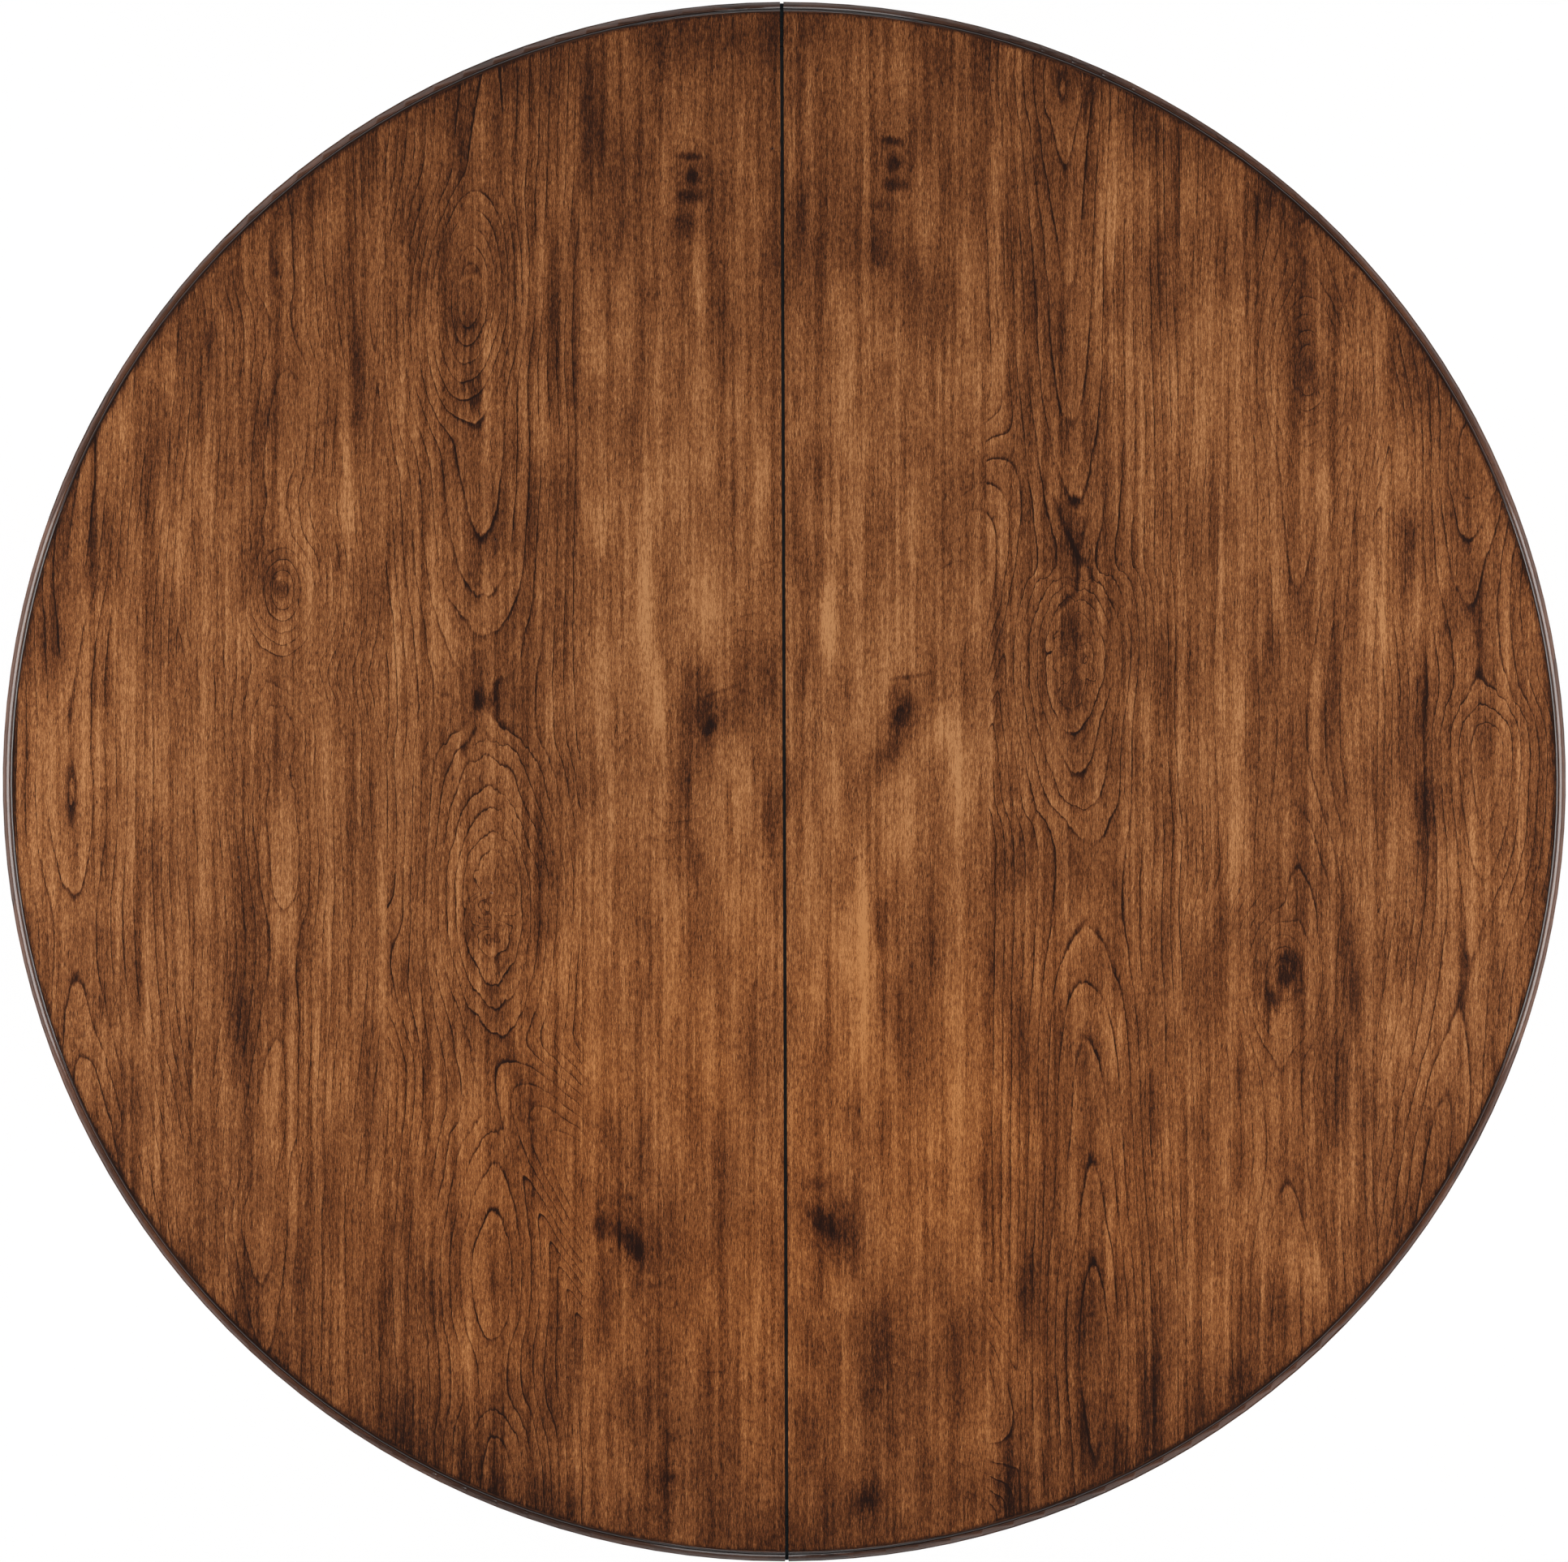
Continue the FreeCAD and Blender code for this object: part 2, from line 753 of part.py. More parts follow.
def top_veneer(side):
    """Leaves of veneer on one half, laid from the seam outwards."""
    name = f"{side}_top_veneer"
    edges = [0 * s.veneer_inner_width]
    next_edge = s.veneer_inner_width
    while next_edge.number < veneer_radius.number:
        edges.append(next_edge)
        next_edge = next_edge + s.veneer_leaf_width
    edges.append(veneer_radius)
    leaves = []
    for number in range(len(edges) - 1):
        disc = doc.addObject("Part::Cylinder", f"{name}_disc_{number}")
        disc.setExpression("Radius", veneer_radius.formula)
        disc.setExpression("Height", s.veneer_thickness.formula)
        place(disc, 0, 0, veneer_level)
        strip = doc.addObject("Part::Box", f"{name}_strip_{number}")
        strip.setExpression("Length", (edges[number + 1] - edges[number]).formula)
        strip.setExpression("Width", (2 * veneer_radius).formula)
        strip.setExpression("Height", s.veneer_thickness.formula)
        place(strip, edges[number], -veneer_radius, veneer_level)
        leaf = doc.addObject("Part::Common", f"{name}_leaf_{number}")
        leaf.Base = disc
        leaf.Tool = strip
        leaves.append(leaf)
    veneer = doc.addObject("Part::Compound", name)
    veneer.Label = name
    veneer.Links = leaves
    place_half(veneer, side)
    keep(veneer)


def seam_lip(side):
    """Dark hardwood lip along the seam, bored for the pins or bushes. The left lip has a tongue that laps
    under the right one, and a dust bead that fills the seam near the top."""
    body = new_body(f"{side}_seam_lip")
    reach = square_root(panel_radius * panel_radius - s.seam_lip_thickness * s.seam_lip_thickness)
    bottom = lap_top + s.part_clearance if side == "right" else top_underside
    lip_end = reach - s.lap_end_gap if side == "right" else reach
    sketch = new_sketch(body, body.Name + "_outline", "XY_Plane", bottom)
    draw_outline(sketch, rectangle(0, s.seam_lip_thickness, -lip_end, lip_end))
    pad(body, sketch, veneer_level - bottom)
    if side == "left":
        tongue = new_sketch(body, body.Name + "_tongue", "XY_Plane", lap_bottom)
        end = reach - s.part_clearance
        draw_outline(tongue, rectangle(-lap_reach, s.seam_lip_thickness, -end, end))
        pad(body, tongue, s.lap_height)
        bead = new_sketch(body, body.Name + "_bead", "XY_Plane", dust_bead_bottom)
        draw_outline(bead, rectangle(-dust_bead_reach, s.seam_lip_thickness, -end, end))
        pad(body, bead, s.dust_bead_height)
    radius = bush_radius if side == "right" else s.pin_radius
    pin_holes(body, radius + s.fit_clearance, s.seam_lip_thickness + s.hole_overrun)
    place_half(body, side)
    keep(body)


def edge_moulding(side):
    """Solid lipping of one half: rounded arris, quirk, ovolo, nose and a cove underneath. At the seam, the
    left moulding has a tongue in its nose that laps into a slot of the right one, a tab in the seam that
    reaches over the lip's tongue, and a dust bead in line with the lip's."""
    body = new_body(f"{side}_edge_moulding")
    arris_foot = s.table_height - s.arris_radius
    quirk_level = arris_foot - s.quirk_depth
    ovolo_foot = quirk_level - s.ovolo_height
    nose_top = ovolo_foot - s.nose_radius
    nose_bottom = nose_top - s.nose_height
    ovolo_outer = s.top_radius - s.nose_radius
    ovolo_inner = ovolo_outer - s.ovolo_width
    arris_outer = ovolo_inner - s.quirk_width
    ovolo_start = (ovolo_outer, ovolo_foot)
    ovolo_finish = (ovolo_inner, quirk_level)
    cove_start = (s.top_radius - s.cove_width, top_underside)
    cove_finish = (s.top_radius, nose_bottom)
    turn(body, [
        (panel_radius, top_underside),
        (*cove_start, "in", curve_radius(cove_start, cove_finish, s.cove_depth)),
        cove_finish,
        (s.top_radius, nose_top, "out", s.nose_radius),
        (*ovolo_start, "out", curve_radius(ovolo_start, ovolo_finish, s.ovolo_swell)),
        ovolo_finish,
        (arris_outer, quirk_level),
        (arris_outer, arris_foot, "out", s.arris_radius),
        (veneer_radius, s.table_height),
        (veneer_radius, veneer_level),
        (panel_radius, veneer_level),
    ], half=True)
    slot_low = nose_bottom + s.lap_nose_inset / 2
    slot_high = nose_top - s.lap_nose_inset / 2
    slot_outer = s.top_radius - s.lap_rim_wall
    room = s.part_clearance if side == "left" else as_size(0)
    low = slot_low + room
    high = slot_high - room
    lip_end = panel_radius - s.lap_end_gap
    lap_inner = lip_end + room if side == "left" else lip_end
    lap_outer = slot_outer - room
    lap = new_sketch(body, body.Name + "_lap", "YZ_Plane")
    draw_outline(lap, rectangle(lap_inner, lap_outer, low, high))
    draw_outline(lap, rectangle(-lap_outer, -lap_inner, low, high))
    if side == "left":
        pad(body, lap, lap_reach, backwards=True)
        tab = new_sketch(body, body.Name + "_tab", "YZ_Plane")
        tab_inner = panel_radius - s.lap_overlap
        tab_outer = panel_radius + s.lap_overlap
        draw_outline(tab, rectangle(tab_inner, tab_outer, low, high))
        draw_outline(tab, rectangle(-tab_outer, -tab_inner, low, high))
        pad(body, tab, s.seam_gap - s.part_clearance, backwards=True)
        bead = new_sketch(body, body.Name + "_bead", "YZ_Plane")
        bead_inner = panel_radius + s.part_clearance
        bead_outer = arris_outer - s.part_clearance
        draw_outline(bead, rectangle(bead_inner, bead_outer, dust_bead_bottom, dust_bead_top))
        draw_outline(bead, rectangle(-bead_outer, -bead_inner, dust_bead_bottom, dust_bead_top))
        pad(body, bead, dust_bead_reach, backwards=True)
    else:
        pocket(body, lap, s.seam_lip_thickness)
    place_half(body, side)
    keep(body)


# Apron

def apron(side):
    """Half-round apron with a bead along its lower edge."""
    body = new_body(f"{side}_apron")
    bottom = top_underside - s.apron_height
    bead_top = bottom + s.apron_bead_height
    turn(body, [
        (apron_inner, bottom),
        (apron_outer, bottom, "out", bead_radius(s.apron_bead_height, s.apron_bead_reach)),
        (apron_outer, bead_top),
        (apron_outer, top_underside),
        (apron_inner, top_underside),
    ], half=True)
    place_half(body, side)
    keep(body)


def apron_blocks(side):
    """Glue blocks between the apron and the panel, each with a screw."""
    name = f"{side}_apron_blocks"
    ring = new_body(name + "_block")
    sketch = new_sketch(ring, name + "_section", "XZ_Plane")
    draw_outline(sketch, rectangle(apron_inner - s.block_depth, apron_inner, block_level, top_underside))
    feature = ring.newObject("PartDesign::Revolution", name + "_turned")
    feature.Profile = sketch
    feature.ReferenceAxis = (sketch, ["V_Axis"])
    feature.setExpression("Angle", s.block_turn.formula)
    feature.Midplane = True
    hole_sketch = new_sketch(ring, name + "_hole", "XY_Plane", block_level)
    draw_circle(hole_sketch, block_middle_radius, 0, s.rail_screw_radius + s.fit_clearance)
    pocket(ring, hole_sketch, s.block_height)
    blocks = []
    for number, angle in enumerate(block_angles()):
        link = doc.addObject("App::Link", f"{name}_{number}")
        link.LinkedObject = ring
        link.setExpression(".Placement.Rotation.Angle", angle.formula)
        blocks.append(link)
    compound = doc.addObject("Part::Compound", name)
    compound.Label = name
    compound.Links = blocks
    place_half(compound, side)
    keep(compound)
    master = screw(
        f"{side}_block_screw",
        s.rail_screw_radius,
        s.rail_screw_head_radius,
        s.rail_screw_head_height,
        s.block_height + s.screw_bite,
    )
    screws = group(f"{side}_block_screws", master, block_screw_spots())
    place_half(screws, side)
    keep(screws)


# Slides

def dovetail(clearance):
    """Half heights of the dovetail at the rail faces and at its tip, with room all round it."""
    flare = (s.tongue_tip_height - s.tongue_root_height) / 2 / s.tongue_depth
    root = s.tongue_root_height / 2 + flare * clearance + clearance
    tip = s.tongue_tip_height / 2 + flare * clearance + clearance
    return root, tip


def moving_rail(side, unit):
    """Rail that carries one half, with a dovetail tongue and a rebate for its rack."""
    body = new_body(f"{side}_rail_{unit}")
    root, tip = dovetail(as_size(0))
    tongue_tip = moving_rail_face - s.tongue_depth
    length = moving_rail_inner_end + moving_rail_outer_end
    sketch = new_sketch(body, body.Name + "_section", "YZ_Plane", -moving_rail_inner_end)
    draw_outline(sketch, [
        (rack_rear, moving_rail_bottom),
        (moving_rail_back, moving_rail_bottom),
        (moving_rail_back, top_underside),
        (moving_rail_face, top_underside),
        (moving_rail_face, tongue_level + root),
        (tongue_tip, tongue_level + tip),
        (tongue_tip, tongue_level - tip),
        (moving_rail_face, tongue_level - root),
        (moving_rail_face, rack_top),
        (rack_rear, rack_top),
    ])
    pad(body, sketch, length)
    relief = new_sketch(body, body.Name + "_relief", "XY_Plane", rail_top)
    draw_outline(relief, rectangle(-moving_rail_inner_end, 0, moving_rail_face, moving_rail_back))
    pocket(body, relief, s.rail_headroom)
    recess = new_sketch(body, body.Name + "_recess", "XY_Plane", moving_rail_bottom)
    bore = new_sketch(body, body.Name + "_bore", "XY_Plane", moving_rail_bottom)
    for step in range(3):
        along = s.rail_screw_first + step * rail_screw_pitch
        draw_circle(recess, along, rail_screw_line, s.rail_screw_head_radius + s.part_clearance)
        draw_circle(bore, along, rail_screw_line, s.rail_screw_radius + s.fit_clearance)
    pocket(body, recess, s.rail_screw_recess)
    pocket(body, bore, top_underside - moving_rail_bottom)
    place_half(body, side, slide_shift(side, unit))
    keep(body)


def slide_shift(side, unit):
    """How far a slide set stands from the middle, as drawn for the right half."""
    is_back = unit == "back"
    return slide_place if is_back == (side == "right") else -slide_place


def rack_shape():
    """Straight rack with trapezoid teeth and plain end stops, with a tooth space over the pinion at rest."""
    module = s.gear_module.number
    slope = math.tan(math.radians(s.pressure_angle.number))
    pitch = math.pi * module
    half_thickness = pitch / 4 - s.gear_backlash.number / 4
    tip_half = half_thickness - module * slope
    root_half = half_thickness + (rack_root.number - pitch_radius.number) * slope
    tip = rack_tip.number
    root = rack_root.number
    rear = rack_rear.number
    pinion_tip = pitch_radius.number + module
    mesh_reach = math.sqrt(pinion_tip ** 2 - tip ** 2) + s.rack_tip_clearance.number + tip_half
    first = math.floor(-(s.half_travel.number + mesh_reach) / pitch - 0.5)
    last = math.ceil(mesh_reach / pitch - 0.5)
    places = [(number + 0.5) * pitch for number in range(first, last + 1)]
    low = places[0] - s.rack_stop.number
    high = places[-1] + s.rack_stop.number
    points = [(low, rear), (low, tip)]
    for before, after in zip(places, places[1:]):
        points.append((before + tip_half, tip))
        points.append((before + root_half, root))
        points.append((after - root_half, root))
        points.append((after - tip_half, tip))
    points += [(high, tip), (high, rear)]
    level = rack_bottom.number
    corners = [FreeCAD.Vector(x - half_gap.number, y, level) for x, y in points]
    face = Part.Face(Part.makePolygon(corners + corners[:1]))
    return face.extrude(FreeCAD.Vector(0, 0, s.rack_height.number))


def rack(side, unit):
    """Rack let into the lower edge of a moving rail."""
    item = doc.addObject("Part::Feature", f"{side}_rack_{unit}")
    item.Shape = rack_shape()
    place_half(item, side, slide_shift(side, unit))
    keep(item)


def rail_screws(side):
    """Screws that hold both moving rails of one half up to its panel."""
    master = screw(
        f"{side}_rail_screw",
        s.rail_screw_radius,
        s.rail_screw_head_radius,
        s.rail_screw_head_height,
        top_underside - rail_screw_seat + s.screw_bite,
    )
    screws = group(f"{side}_rail_screws", master, rail_screw_spots())
    place_half(screws, side)
    keep(screws)


def plate_screw_spots(unit_place):
    """Seats of the screws under the top plate that hold one centre rail."""
    along = (-plate_screw_outer, -s.plate_screw_inner, s.plate_screw_inner, plate_screw_outer)
    return [(x, unit_place, plate_bottom) for x in along]


def centre_rail(unit):
    """Fixed rail with a dovetail groove in each side and a slot for its pinion."""
    name = f"centre_rail_{unit}"
    body = new_body(name + "_blank")
    root, tip = dovetail(s.slide_clearance)
    side_face = centre_rail_face
    groove_floor = moving_rail_face - s.tongue_depth - s.slide_clearance
    right_edge = [
        (side_face, plate_top),
        (side_face, tongue_level - root),
        (groove_floor, tongue_level - tip),
        (groove_floor, tongue_level + tip),
        (side_face, tongue_level + root),
        (side_face, rail_top),
    ]
    left_edge = [(-y, level) for y, level in reversed(right_edge)]
    sketch = new_sketch(body, name + "_section", "YZ_Plane")
    draw_outline(sketch, right_edge + left_edge)
    pad(body, sketch, s.centre_rail_length, midplane=True)
    slot_reach = pitch_radius + s.gear_module + s.gear_slot_clearance
    slot = new_sketch(body, name + "_slot", "XZ_Plane")
    draw_outline(slot, rectangle(-slot_reach, slot_reach, plate_top, gear_slot_top))
    pocket(body, slot, 2 * centre_rail_face + s.hole_overrun, midplane=True)
    seat = new_sketch(body, name + "_axle_seat", "XY_Plane", plate_top)
    draw_circle(seat, 0, 0, s.axle_radius + s.fit_clearance)
    pocket(body, seat, gear_slot_top - plate_top + s.axle_rail_depth)
    pilot = new_sketch(body, name + "_pilots", "XY_Plane", plate_top)
    for x, _, _ in plate_screw_spots(slide_place):
        draw_circle(pilot, x, 0, s.rail_screw_radius + s.fit_clearance)
    pocket(body, pilot, s.plate_screw_reach - s.plate_thickness + s.hole_overrun)
    body.Label = name
    place(body, 0, slide_place if unit == "back" else -slide_place)
    keep(body)


def gear_axles():
    """Fixed pins that the pinions turn on, one in each centre rail."""
    low = plate_top - s.axle_seat
    high = gear_slot_top + s.axle_rail_depth
    master = hole_rod("gear_axle", s.axle_radius, low, high)
    keep(group("gear_axles", master, [(0, -slide_place), (0, slide_place)]))


def involute(angle):
    """How far an involute has turned where it meets a pressure angle."""
    return math.tan(angle) - angle


def pinion_shape():
    """Spur pinion with involute teeth, a boss on each face and a bore that runs on its axle."""
    module = s.gear_module.number
    pitch = pitch_radius.number
    tip = pitch + module
    root = pitch - module - s.gear_root_clearance.number
    pressure = math.radians(s.pressure_angle.number)
    base = pitch * math.cos(pressure)
    half_tooth = (math.pi * module / 2 - s.gear_backlash.number / 2) / 2 / pitch + involute(pressure)
    start = max(base, root)
    radii = [start + (tip - start) * step / 4 for step in range(5)]
    bottom = rack_bottom.number + s.pinion_end_clearance.number
    height = s.rack_height.number - 2 * s.pinion_end_clearance.number

    def spot(radius, angle):
        return FreeCAD.Vector(radius * math.cos(angle), radius * math.sin(angle), bottom)

    def flank(centre, way):
        turned = [half_tooth - involute(math.acos(min(base / radius, 1))) for radius in radii]
        return [spot(radius, centre + way * angle) for radius, angle in zip(radii, turned)]

    edges = []
    for number in range(PINION_TEETH):
        centre = 2 * math.pi * number / PINION_TEETH
        following = 2 * math.pi * (number + 1) / PINION_TEETH
        rising = flank(centre, -1)
        falling = flank(centre, 1)[::-1]
        next_rising = flank(following, -1)
        low_start = spot(root, math.atan2(rising[0].y, rising[0].x))
        low_end = spot(root, math.atan2(falling[-1].y, falling[-1].x))
        next_low = spot(root, math.atan2(next_rising[0].y, next_rising[0].x))
        edges.append(Part.makeLine(low_start, rising[0]))
        for line in (rising, falling):
            curve = Part.BSplineCurve()
            curve.interpolate(line)
            edges.append(curve.toShape())
            if line is rising:
                edges.append(Part.Arc(rising[-1], spot(tip, centre), falling[0]).toShape())
        edges.append(Part.makeLine(falling[-1], low_end))
        edges.append(Part.Arc(low_end, spot(root, (centre + following) / 2), next_low).toShape())
    gear = Part.Face(Part.Wire(Part.sortEdges(edges)[0])).extrude(FreeCAD.Vector(0, 0, height))
    boss_bottom = plate_top.number + s.part_clearance.number
    boss_top = gear_slot_top.number - s.part_clearance.number
    boss = Part.makeCylinder(
        s.pinion_boss_radius.number, boss_top - boss_bottom, FreeCAD.Vector(0, 0, boss_bottom))
    bore_radius = s.axle_radius.number + s.running_clearance.number
    bore = Part.makeCylinder(bore_radius, boss_top - boss_bottom, FreeCAD.Vector(0, 0, boss_bottom))
    return gear.fuse(boss).cut(bore).removeSplitter()


def pinion(unit):
    """Pinion between the two racks of a slide set."""
    item = doc.addObject("Part::Feature", f"pinion_{unit}")
    item.Shape = pinion_shape()
    place(item, 0, slide_place if unit == "back" else -slide_place)
    keep(item)


# Alignment pins and swing locks

def alignment_pins():
    """Dowels in the left half that enter the bushes as the top closes."""
    length = s.pin_depth + s.pin_reach
    master = turn(new_body("alignment_pin"), [
        (0, 0 * length),
        (s.pin_radius, 0 * length),
        (s.pin_radius, length - s.pin_nose, "out", s.pin_nose),
        (s.pin_radius - s.pin_nose, length),
        (0, length),
    ])
    start = -(half_gap + s.pin_depth)
    keep(group("alignment_pins", master, [(start, y, z, POINT_ALONG_X) for y, z in pin_spots()]))


def pin_bushes():
    """Bushes in the right half that take the alignment pins."""
    master = washer("pin_bush", bush_bore, bush_radius, s.bush_length)
    keep(group("pin_bushes", master, [(half_gap, y, z, POINT_ALONG_X) for y, z in pin_spots()]))


def lock_plates():
    """Flat plates under the left half that carry the lock pivots."""
    body = new_body("lock_plate")
    half_width = s.lock_plate_width / 2
    half_length = s.lock_plate_length / 2
    sketch = new_sketch(body, "lock_plate_outline", "XY_Plane", lock_plate_level)
    draw_outline(sketch, rectangle(-half_width, half_width, -half_length, half_length))
    draw_circle(sketch, 0, 0, s.rail_screw_radius + s.fit_clearance)
    for x, y in lock_screw_spots():
        draw_circle(sketch, x, y, s.small_screw_radius + s.fit_clearance)
    pad(body, sketch, s.lock_plate_thickness)
    keep(group("lock_plates", body, [(pivot_place, along) for along in lock_places()]))


def lock_pivots():
    """Shoulder screws that the lock levers swing on."""
    head_bottom = pivot_head_top - s.lock_pivot_head_height
    tip = top_underside + s.small_screw_bite
    master = turn(new_body("lock_pivot"), [
        (0, head_bottom),
        (s.lock_pivot_head_radius - s.lock_pivot_head_height / 2, head_bottom),
        (s.lock_pivot_head_radius, head_bottom + s.lock_pivot_head_height / 2),
        (s.lock_pivot_head_radius, pivot_head_top),
        (s.lock_pivot_radius, pivot_head_top),
        (s.lock_pivot_radius, lock_plate_level),
        (s.rail_screw_radius, lock_plate_level),
        (s.rail_screw_radius, tip),
        (0, tip),
    ])
    keep(group("lock_pivots", master, [(pivot_place, along) for along in lock_places()]))


def small_screws(name, spots):
    """Small screws that hold the lock plates or the keepers to a panel."""
    master = screw(
        name + "_master",
        s.small_screw_radius,
        s.small_screw_head_radius,
        s.small_screw_head_height,
        s.lock_plate_thickness + s.small_screw_bite,
    )
    keep(group(name, master, [(x, y, lock_plate_level) for x, y in spots]))


def lock_lever(unit):
    """Lever with a hook that swings round the keeper's post, drawn latched and turned back to its rest."""
    body = new_body(f"lock_lever_{unit}")
    half_width = s.lever_width / 2
    hub_reach = square_root(s.lever_hub_radius * s.lever_hub_radius - half_width * half_width)
    slot_half = s.keeper_post_radius + s.hook_clearance
    outer = hook_radius + slot_half + s.hook_jaw
    slot_outer = hook_radius + slot_half
    slot_inner = hook_radius - slot_half
    neck = hook_radius - s.hook_neck
    sketch = new_sketch(body, body.Name + "_outline", "XY_Plane", lever_bottom)
    draw_outline(sketch, [
        (hub_reach, -half_width),
        (neck, -half_width),
        (*polar(outer, -s.hook_back_angle), "out", outer),
        polar(outer, s.hook_lead_angle),
        (*polar(slot_outer, s.hook_lead_angle), "in", slot_outer),
        polar(slot_outer, -s.hook_slot_angle),
        (*polar(slot_inner, -s.hook_slot_angle), "out", slot_inner),
        polar(slot_inner, s.hook_lead_angle),
        (neck, half_width),
        (hub_reach, half_width, "out", s.lever_hub_radius),
        (-hub_reach, half_width),
        (-s.lever_handle, half_width),
        (-s.lever_handle, -half_width),
        (-hub_reach, -half_width, "out", s.lever_hub_radius),
    ])
    draw_circle(sketch, 0, 0, s.lock_pivot_radius + s.running_clearance)
    pad(body, sketch, s.lever_thickness)
    tab = new_sketch(body, body.Name + "_tab", "XY_Plane", lever_bottom)
    draw_outline(tab, rectangle(
        -s.lever_handle, s.lever_tab_thickness - s.lever_handle, -half_width, half_width))
    pad(body, tab, s.lever_tab_height, backwards=True)
    along = lock_place if unit == "back" else -lock_place
    place(body, pivot_place, along)
    body.setExpression(".Placement.Rotation.Angle", (-s.lever_swing).formula)
    keep(body)


def lock_keepers():
    """Keepers under the right half: a plate with a headed post for the hook."""
    body = new_body("lock_keeper")
    half_length = s.keeper_plate_length / 2
    sketch = new_sketch(body, "keeper_outline", "XY_Plane", lock_plate_level)
    draw_outline(sketch, rectangle(-s.keeper_plate_back, s.keeper_plate_front, -half_length, half_length))
    for x, y in keeper_screw_spots():
        draw_circle(sketch, x, y, s.small_screw_radius + s.fit_clearance)
    pad(body, sketch, s.lock_plate_thickness)
    post = new_sketch(body, "keeper_post", "XY_Plane", lock_plate_level)
    draw_circle(post, 0, 0, s.keeper_post_radius)
    pad(body, post, s.keeper_post_length, backwards=True)
    head = new_sketch(body, "keeper_head", "XY_Plane", lock_plate_level - s.keeper_post_length)
    draw_circle(head, 0, 0, s.keeper_head_radius)
    pad(body, head, s.keeper_head_height, backwards=True)
    keep(group("lock_keepers", body, [(keeper_place, along) for along in lock_places()]))


# Top plate and column

def capital_screw_spots():
    """Seats of the screws that go down through the top plate into the capital."""
    return [(*polar(s.capital_screw_place_radius, 90 * quarter), plate_top) for quarter in range(4)]


def top_plate():
    """Square plate with rounded corners that the centre rails stand on."""
    body = new_body("top_plate")
    half = plate_half
    inner = half - s.plate_corner
    sketch = new_sketch(body, "top_plate_outline", "XY_Plane", plate_bottom)
    draw_outline(sketch, [
        (-inner, -half),
        (inner, -half, "out", s.plate_corner),
        (half, -inner),
        (half, inner, "out", s.plate_corner),
        (inner, half),
        (-inner, half, "out", s.plate_corner),
        (-half, inner),
        (-half, -inner, "out", s.plate_corner),
    ])
    board = pad(body, sketch, s.plate_thickness)
    bevel(body, board, s.plate_chamfer, lambda edge: edge_at_level(edge, plate_bottom.number))
    holes = new_sketch(body, "top_plate_holes", "XY_Plane", plate_bottom)
    draw_circle(holes, 0, 0, rod_bore)
    for unit_place in (-slide_place, slide_place):
        for x, y, _ in plate_screw_spots(unit_place):
            draw_circle(holes, x, y, s.rail_screw_radius + s.fit_clearance)
    for x, y, _ in capital_screw_spots():
        draw_circle(holes, x, y, s.rail_screw_radius + s.fit_clearance)
    pocket(body, holes, s.plate_thickness)
    seats = new_sketch(body, "top_plate_axle_seats", "XY_Plane", plate_top - s.axle_seat)
    for unit_place in (-slide_place, slide_place):
        draw_circle(seats, 0, unit_place, s.axle_radius + s.fit_clearance)
    pocket(body, seats, s.axle_seat)
    keep(body)


def plate_screws():
    """Screws up through the top plate into the centre rails."""
    master = screw(
        "plate_screw",
        s.rail_screw_radius,
        s.rail_screw_head_radius,
        s.rail_screw_head_height,
        s.plate_screw_reach,
    )
    spots = plate_screw_spots(-slide_place) + plate_screw_spots(slide_place)
    keep(group("plate_screws", master, spots))


def capital_screws():
    """Screws down through the top plate into the capital."""
    master = screw(
        "capital_screw",
        s.rail_screw_radius,
        s.rail_screw_head_radius,
        s.rail_screw_head_height,
        s.capital_screw_reach,
    )
    keep(group("capital_screws", master, [(*spot, POINT_DOWN) for spot in capital_screw_spots()]))


def column_capital():
    """Turned capital between the shaft and the top plate."""
    body = new_body("column_capital")
    socket = s.top_spigot_radius + s.fit_clearance
    socket_top = shaft_top + s.top_spigot_length + s.hole_overrun
    bead_top = shaft_top + s.capital_bead_height
    rim_bottom = plate_bottom - s.capital_rim
    cove_start = (s.capital_neck_radius + s.capital_step, bead_top)
    cove_finish = (s.capital_radius - s.capital_fillet, rim_bottom)
    turn(body, [
        (socket, shaft_top),
        (s.capital_neck_radius, shaft_top, "out", bead_radius(s.capital_bead_height, s.capital_bead_reach)),
        (s.capital_neck_radius, bead_top),
        (*cove_start, "in", curve_radius(cove_start, cove_finish, s.capital_cove_depth)),
        cove_finish,
        (s.capital_radius, rim_bottom),
        (s.capital_radius, plate_bottom),
        (rod_bore, plate_bottom),
        (rod_bore, socket_top),
        (socket, socket_top),
    ])
    pilot_depth = s.capital_screw_reach - s.plate_thickness + s.hole_overrun
    pilots = new_sketch(body, "capital_pilots", "XY_Plane", plate_bottom - pilot_depth)
    for x, y, _ in capital_screw_spots():
        draw_circle(pilots, x, y, s.rail_screw_radius + s.fit_clearance)
    pocket(body, pilots, pilot_depth)
    keep(body)


